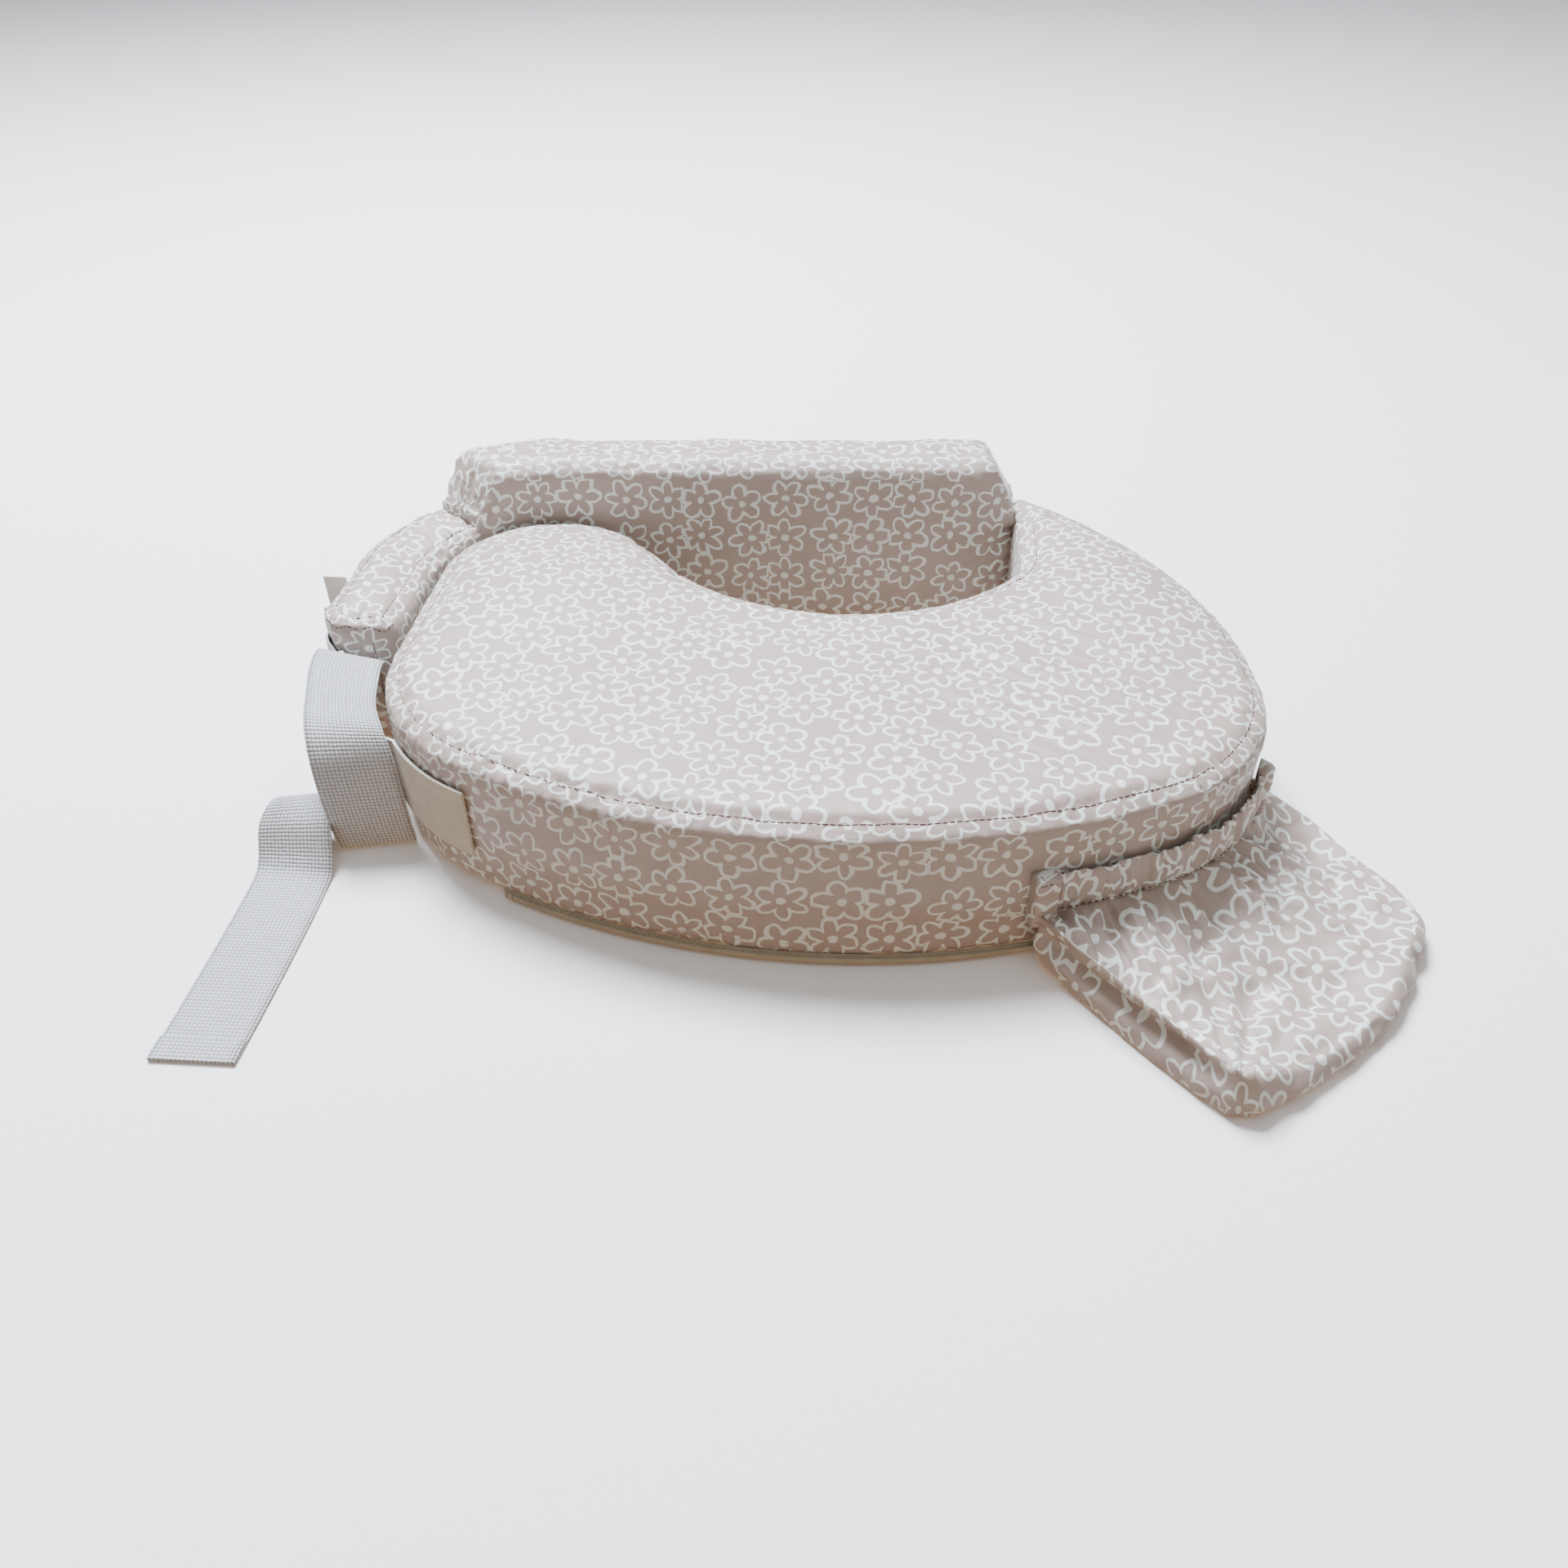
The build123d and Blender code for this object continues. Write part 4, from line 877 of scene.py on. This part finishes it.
for face in work.faces:
    for loop in face.loops:
        x, y = flat[loop.vert]
        loop[layer].uv = (x * 0.97 + y * 0.26 + 3.0, y * 0.97 - x * 0.26 + 3.0)
bmesh.ops.recalc_face_normals(work, faces=work.faces)
mesh = bpy.data.meshes.new("pocket_pouch")
work.to_mesh(mesh)
work.free()
pouch = piece_of(mesh, "pocket_pouch", "shelf", cotton)
wall = pouch.modifiers.new("thickness", "SOLIDIFY")
wall.thickness, wall.offset = 0.0009, -1.0
applied(pouch)
smooth(pouch)
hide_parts("pocket_bag")
pouch_skin = surface_of(pouch)
corner_line = thin_out([Vector((0.2415, -0.2520, 0.030)), Vector((0.2405, -0.2640, 0.002))], 0.0036)
corner = [pouch_skin.find_nearest(p) for p in corner_line]
stitches("pocket_corner_stitching", "shelf", [hit[0] + hit[1] * 0.0001 for hit in corner], 0.0028, 0.0004, dark_thread)

# gathered casing over the elastic
work = bmesh.new()
hem_cols, hem_rows = 420, 26
casing_line = sampled(mouth_line(0.0), hem_cols)
casing_out = sampled(mouth_line(0.010), hem_cols)
bmesh.ops.create_grid(work, x_segments=hem_cols - 1, y_segments=hem_rows - 1, size=0.5)
layer = work.loops.layers.uv.new("cloth")
places = {}
for v in work.verts:
    u, r = v.co.x + 0.5, v.co.y + 0.5
    i = round(u * (hem_cols - 1))
    a, b = casing_line[i], casing_out[i]
    outward = (b - a).normalized()
    places[v] = (u, r)
    ripple = noise.noise(Vector((u * 30, r * 0.9, 0))) + 0.6 * noise.noise(Vector((u * 70, r * 1.3, 4)))
    # the casing is a flat tube: it runs up the front, over the top, and down behind
    if r < 0.68:
        t = r / 0.68
        height = 0.0385 + 0.0300 * t
        out = 0.0058 + 0.0022 * math.sin(math.pi * t) + 0.0044 * ripple * (0.45 + 0.55 * t)
    else:
        t = (r - 0.68) / 0.32
        height = 0.0685 + 0.0012 * math.sin(math.pi * t) - 0.010 * t * t
        out = 0.0058 - 0.0030 * t + 0.0044 * ripple * (1 - t)
    height += 0.0030 * noise.noise(Vector((u * 30, 9, 0))) * max(0, r - 0.2)
    seam_dip = 0.0014 * math.exp(-((r - 0.10) / 0.05) ** 2)
    v.co = a + outward * max(0.0012, out - seam_dip)
    v.co.z = height
for face in work.faces:
    for loop in face.loops:
        u, r = places[loop.vert]
        loop[layer].uv = (u * 0.24 + 4.2, r * 0.036 + 4.0)
bmesh.ops.recalc_face_normals(work, faces=work.faces)
mesh = bpy.data.meshes.new("pocket_casing")
work.to_mesh(mesh)
work.free()
casing = piece_of(mesh, "pocket_casing", "shelf", cotton)
wall = casing.modifiers.new("thickness", "SOLIDIFY")
wall.thickness, wall.offset = 0.0007, -1.0
applied(casing)
smooth(casing)
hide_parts("pocket_hem", "pocket_elastic")
casing_skin = surface_of(casing)
row = thin_out([Vector((p.x, p.y, 0.0415)) for p in mouth_line(0.008)], 0.0040)
hits = [casing_skin.find_nearest(p) for p in row]
casing_spots = [hit[0] + hit[1] * 0.0001 for hit in hits]
stitches("pocket_casing_stitching", "shelf", casing_spots, 0.0030, 0.00035, dark_thread)


# folded strips that close the casing's ends
def binding(name, line, bottom, height):
    """A strip folded over the casing's end: a grid laid on the wall, drawn out and rounded."""
    made = bmesh.new()
    bmesh.ops.create_grid(made, x_segments=18, y_segments=30, size=0.5)
    sheet = made.loops.layers.uv.new("cloth")
    for v in made.verts:
        u, r = v.co.x + 0.5, v.co.y + 0.5
        foot, outer = at(line[0], u), at(line[1], u)
        away = (outer - foot).normalized()
        round_off = (1 - (2 * u - 1) ** 6) * (1 - max(0.0, 1 - r / 0.05) ** 2) * (1 - max(0.0, (r - 0.93) / 0.07) ** 2)
        crumple = 0.0011 * noise.noise(Vector((u * 2.5, r * 6, bottom * 100)))
        crumple += 0.0022 * max(0, r - 0.8) * noise.noise(Vector((u * 9, 0, 3)))
        v.co = foot + away * (0.0010 + (0.0092 + crumple) * max(0, round_off) ** 0.5)
        v.co.z = bottom + height * r - 0.0025 * max(0, r - 0.9) * math.sin(u * 9)
    for face in made.faces:
        for loop in face.loops:
            loop[sheet].uv = (loop.vert.co.x - loop.vert.co.y + 5.0, loop.vert.co.z + 5.0)
    bmesh.ops.recalc_face_normals(made, faces=made.faces)
    data = bpy.data.meshes.new(name)
    made.to_mesh(data)
    made.free()
    strip = piece_of(data, name, "shelf", cotton)
    wall = strip.modifiers.new("thickness", "SOLIDIFY")
    wall.thickness, wall.offset = 0.0008, -1.0
    applied(strip)
    smooth(strip)
    return strip


def wall_stretch(centre, radius, first, last):
    return [[Vector((*p, 0)) for p in arc(centre, radius + out, first, last)] for out in (0.0, 0.01)]


left_binding = binding("pocket_left_binding", wall_stretch(FRONT, FRONT_RADIUS, -73.7, -71.6), 0.031, 0.038)
binding("pocket_right_binding", wall_stretch(RIGHT_SIDE, SIDE_RADIUS, -21.0, -14.5), 0.031, 0.038)
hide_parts("pocket_bindings")
left_skin = surface_of(left_binding)
for height in (0.0365, 0.0655):
    row = thin_out([Vector((*p, height)) for p in arc(FRONT, FRONT_RADIUS + 0.014, -73.5, -71.8)], 0.0030)
    spots = [left_skin.find_nearest(p)[0] for p in row]
    stitches(f"pocket_binding_stitching_{round(height * 10000)}", "shelf", spots, 0.0024, 0.00035, dark_thread)


# ------------------------------------------------------------ finishes on the pieces from the CAD
def refinish(node, material):
    piece = bpy.data.objects[node]
    piece.data.materials.clear()
    piece.data.materials.append(material)


def cloth_map(node):
    """Flat cloth coordinates on a CAD piece: along it in plan, and up."""
    mesh = bpy.data.objects[node].data
    mesh.uv_layers.new(name="cloth")
    uv = mesh.uv_layers["cloth"].data
    for loop in mesh.loops:
        p = mesh.vertices[loop.vertex_index].co
        uv[loop.index].uv = (p.x - p.y, p.z)


for node, material in (
    ("zipper_tape", zip_cloth), ("zipper_coil", zip_nylon), ("zipper_stops", zip_paint), ("zipper_slider", zip_paint),
    ("zipper_pull", zip_paint), ("buckle_prongs", buckle_finish),
    ("buckle_socket", buckle_finish), ("shelf_anchor_webbing", anchor_tape), ("arm_webbing", webbing),
    ("care_label", label_cloth),
):
    refinish(node, material)
cloth_map("arm_webbing")

# ------------------------------------------------------------ floor, light and camera
work = bmesh.new()
bmesh.ops.create_grid(work, x_segments=1, y_segments=1, size=60.0)
mesh = bpy.data.meshes.new("studio_floor")
work.to_mesh(mesh)
work.free()
floor = bpy.data.objects.new("studio_floor", mesh)
scene.collection.objects.link(floor)
floor_mat, tree, shader = finish_of("white_studio_paper")
shader.inputs["Base Color"].default_value = colour("#FDFDFD")
shader.inputs["Roughness"].default_value = 0.9
mesh.materials.append(floor_mat)
# white paper this near would throw its light back on the walls, so it isn't seen by soft bounces
floor.visible_diffuse = False

world = bpy.data.worlds.new("studio")
scene.world = world
world.use_nodes = True
sky = world.node_tree
around = add(sky, "ShaderNodeTexCoord").outputs["Generated"]
heading = add(sky, "ShaderNodeSeparateXYZ", {0: around})
level = add(sky, "ShaderNodeMapRange", {0: heading.outputs[2], 1: -0.02, 2: 0.0, 3: 0.0, 4: 1.0})
height = add(sky, "ShaderNodeMapRange", {0: heading.outputs[2], 1: 0.0, 2: 0.45, 3: 0.0, 4: 1.0})
# pale walls, a dimmer ceiling, and a warm wooden floor's light from below
room = add(sky, "ShaderNodeMix", {0: height, 6: colour("#C6C8CA"), 7: colour("#77797C")}, data_type="RGBA")
air = add(sky, "ShaderNodeMix", {0: level, 6: colour("#D9B08A"), 7: room.outputs[2]}, data_type="RGBA")
sky.links.new(air.outputs[2], sky.nodes["Background"].inputs[0])
sky.nodes["Background"].inputs[1].default_value = 0.95


def lamp(name, place, aim, size, power, tint):
    light = bpy.data.lights.new(name, "AREA")
    light.shape, light.size, light.energy = "DISK", size, power
    light.color = colour(tint)[:3]
    holder = bpy.data.objects.new(name, light)
    scene.collection.objects.link(holder)
    holder.location = place
    holder.rotation_euler = (Vector(aim) - Vector(place)).to_track_quat("-Z", "Y").to_euler()


lamp("window_above", (-0.75, 1.15, 2.6), (0.0, 0.0, 0.05), 1.3, 330, "#F0F4FF")
lamp("ceiling", (0.0, 0.5, 5.0), (0.0, 0.5, 0.0), 8.0, 150, "#FFFFFF")
lamp("warm_fill", (0.6, -2.2, 0.9), (0.0, 0.0, 0.05), 1.5, 6, "#FFCF98")

camera = bpy.data.objects.new("camera", bpy.data.cameras.new("camera"))
scene.collection.objects.link(camera)
camera.data.lens = 29.2
camera.data.sensor_width = 36
camera.location = (0.0348, -0.6954, 0.5694)
camera.rotation_euler = (math.radians(90 - 39.2), 0, math.radians(4.78))
scene.camera = camera
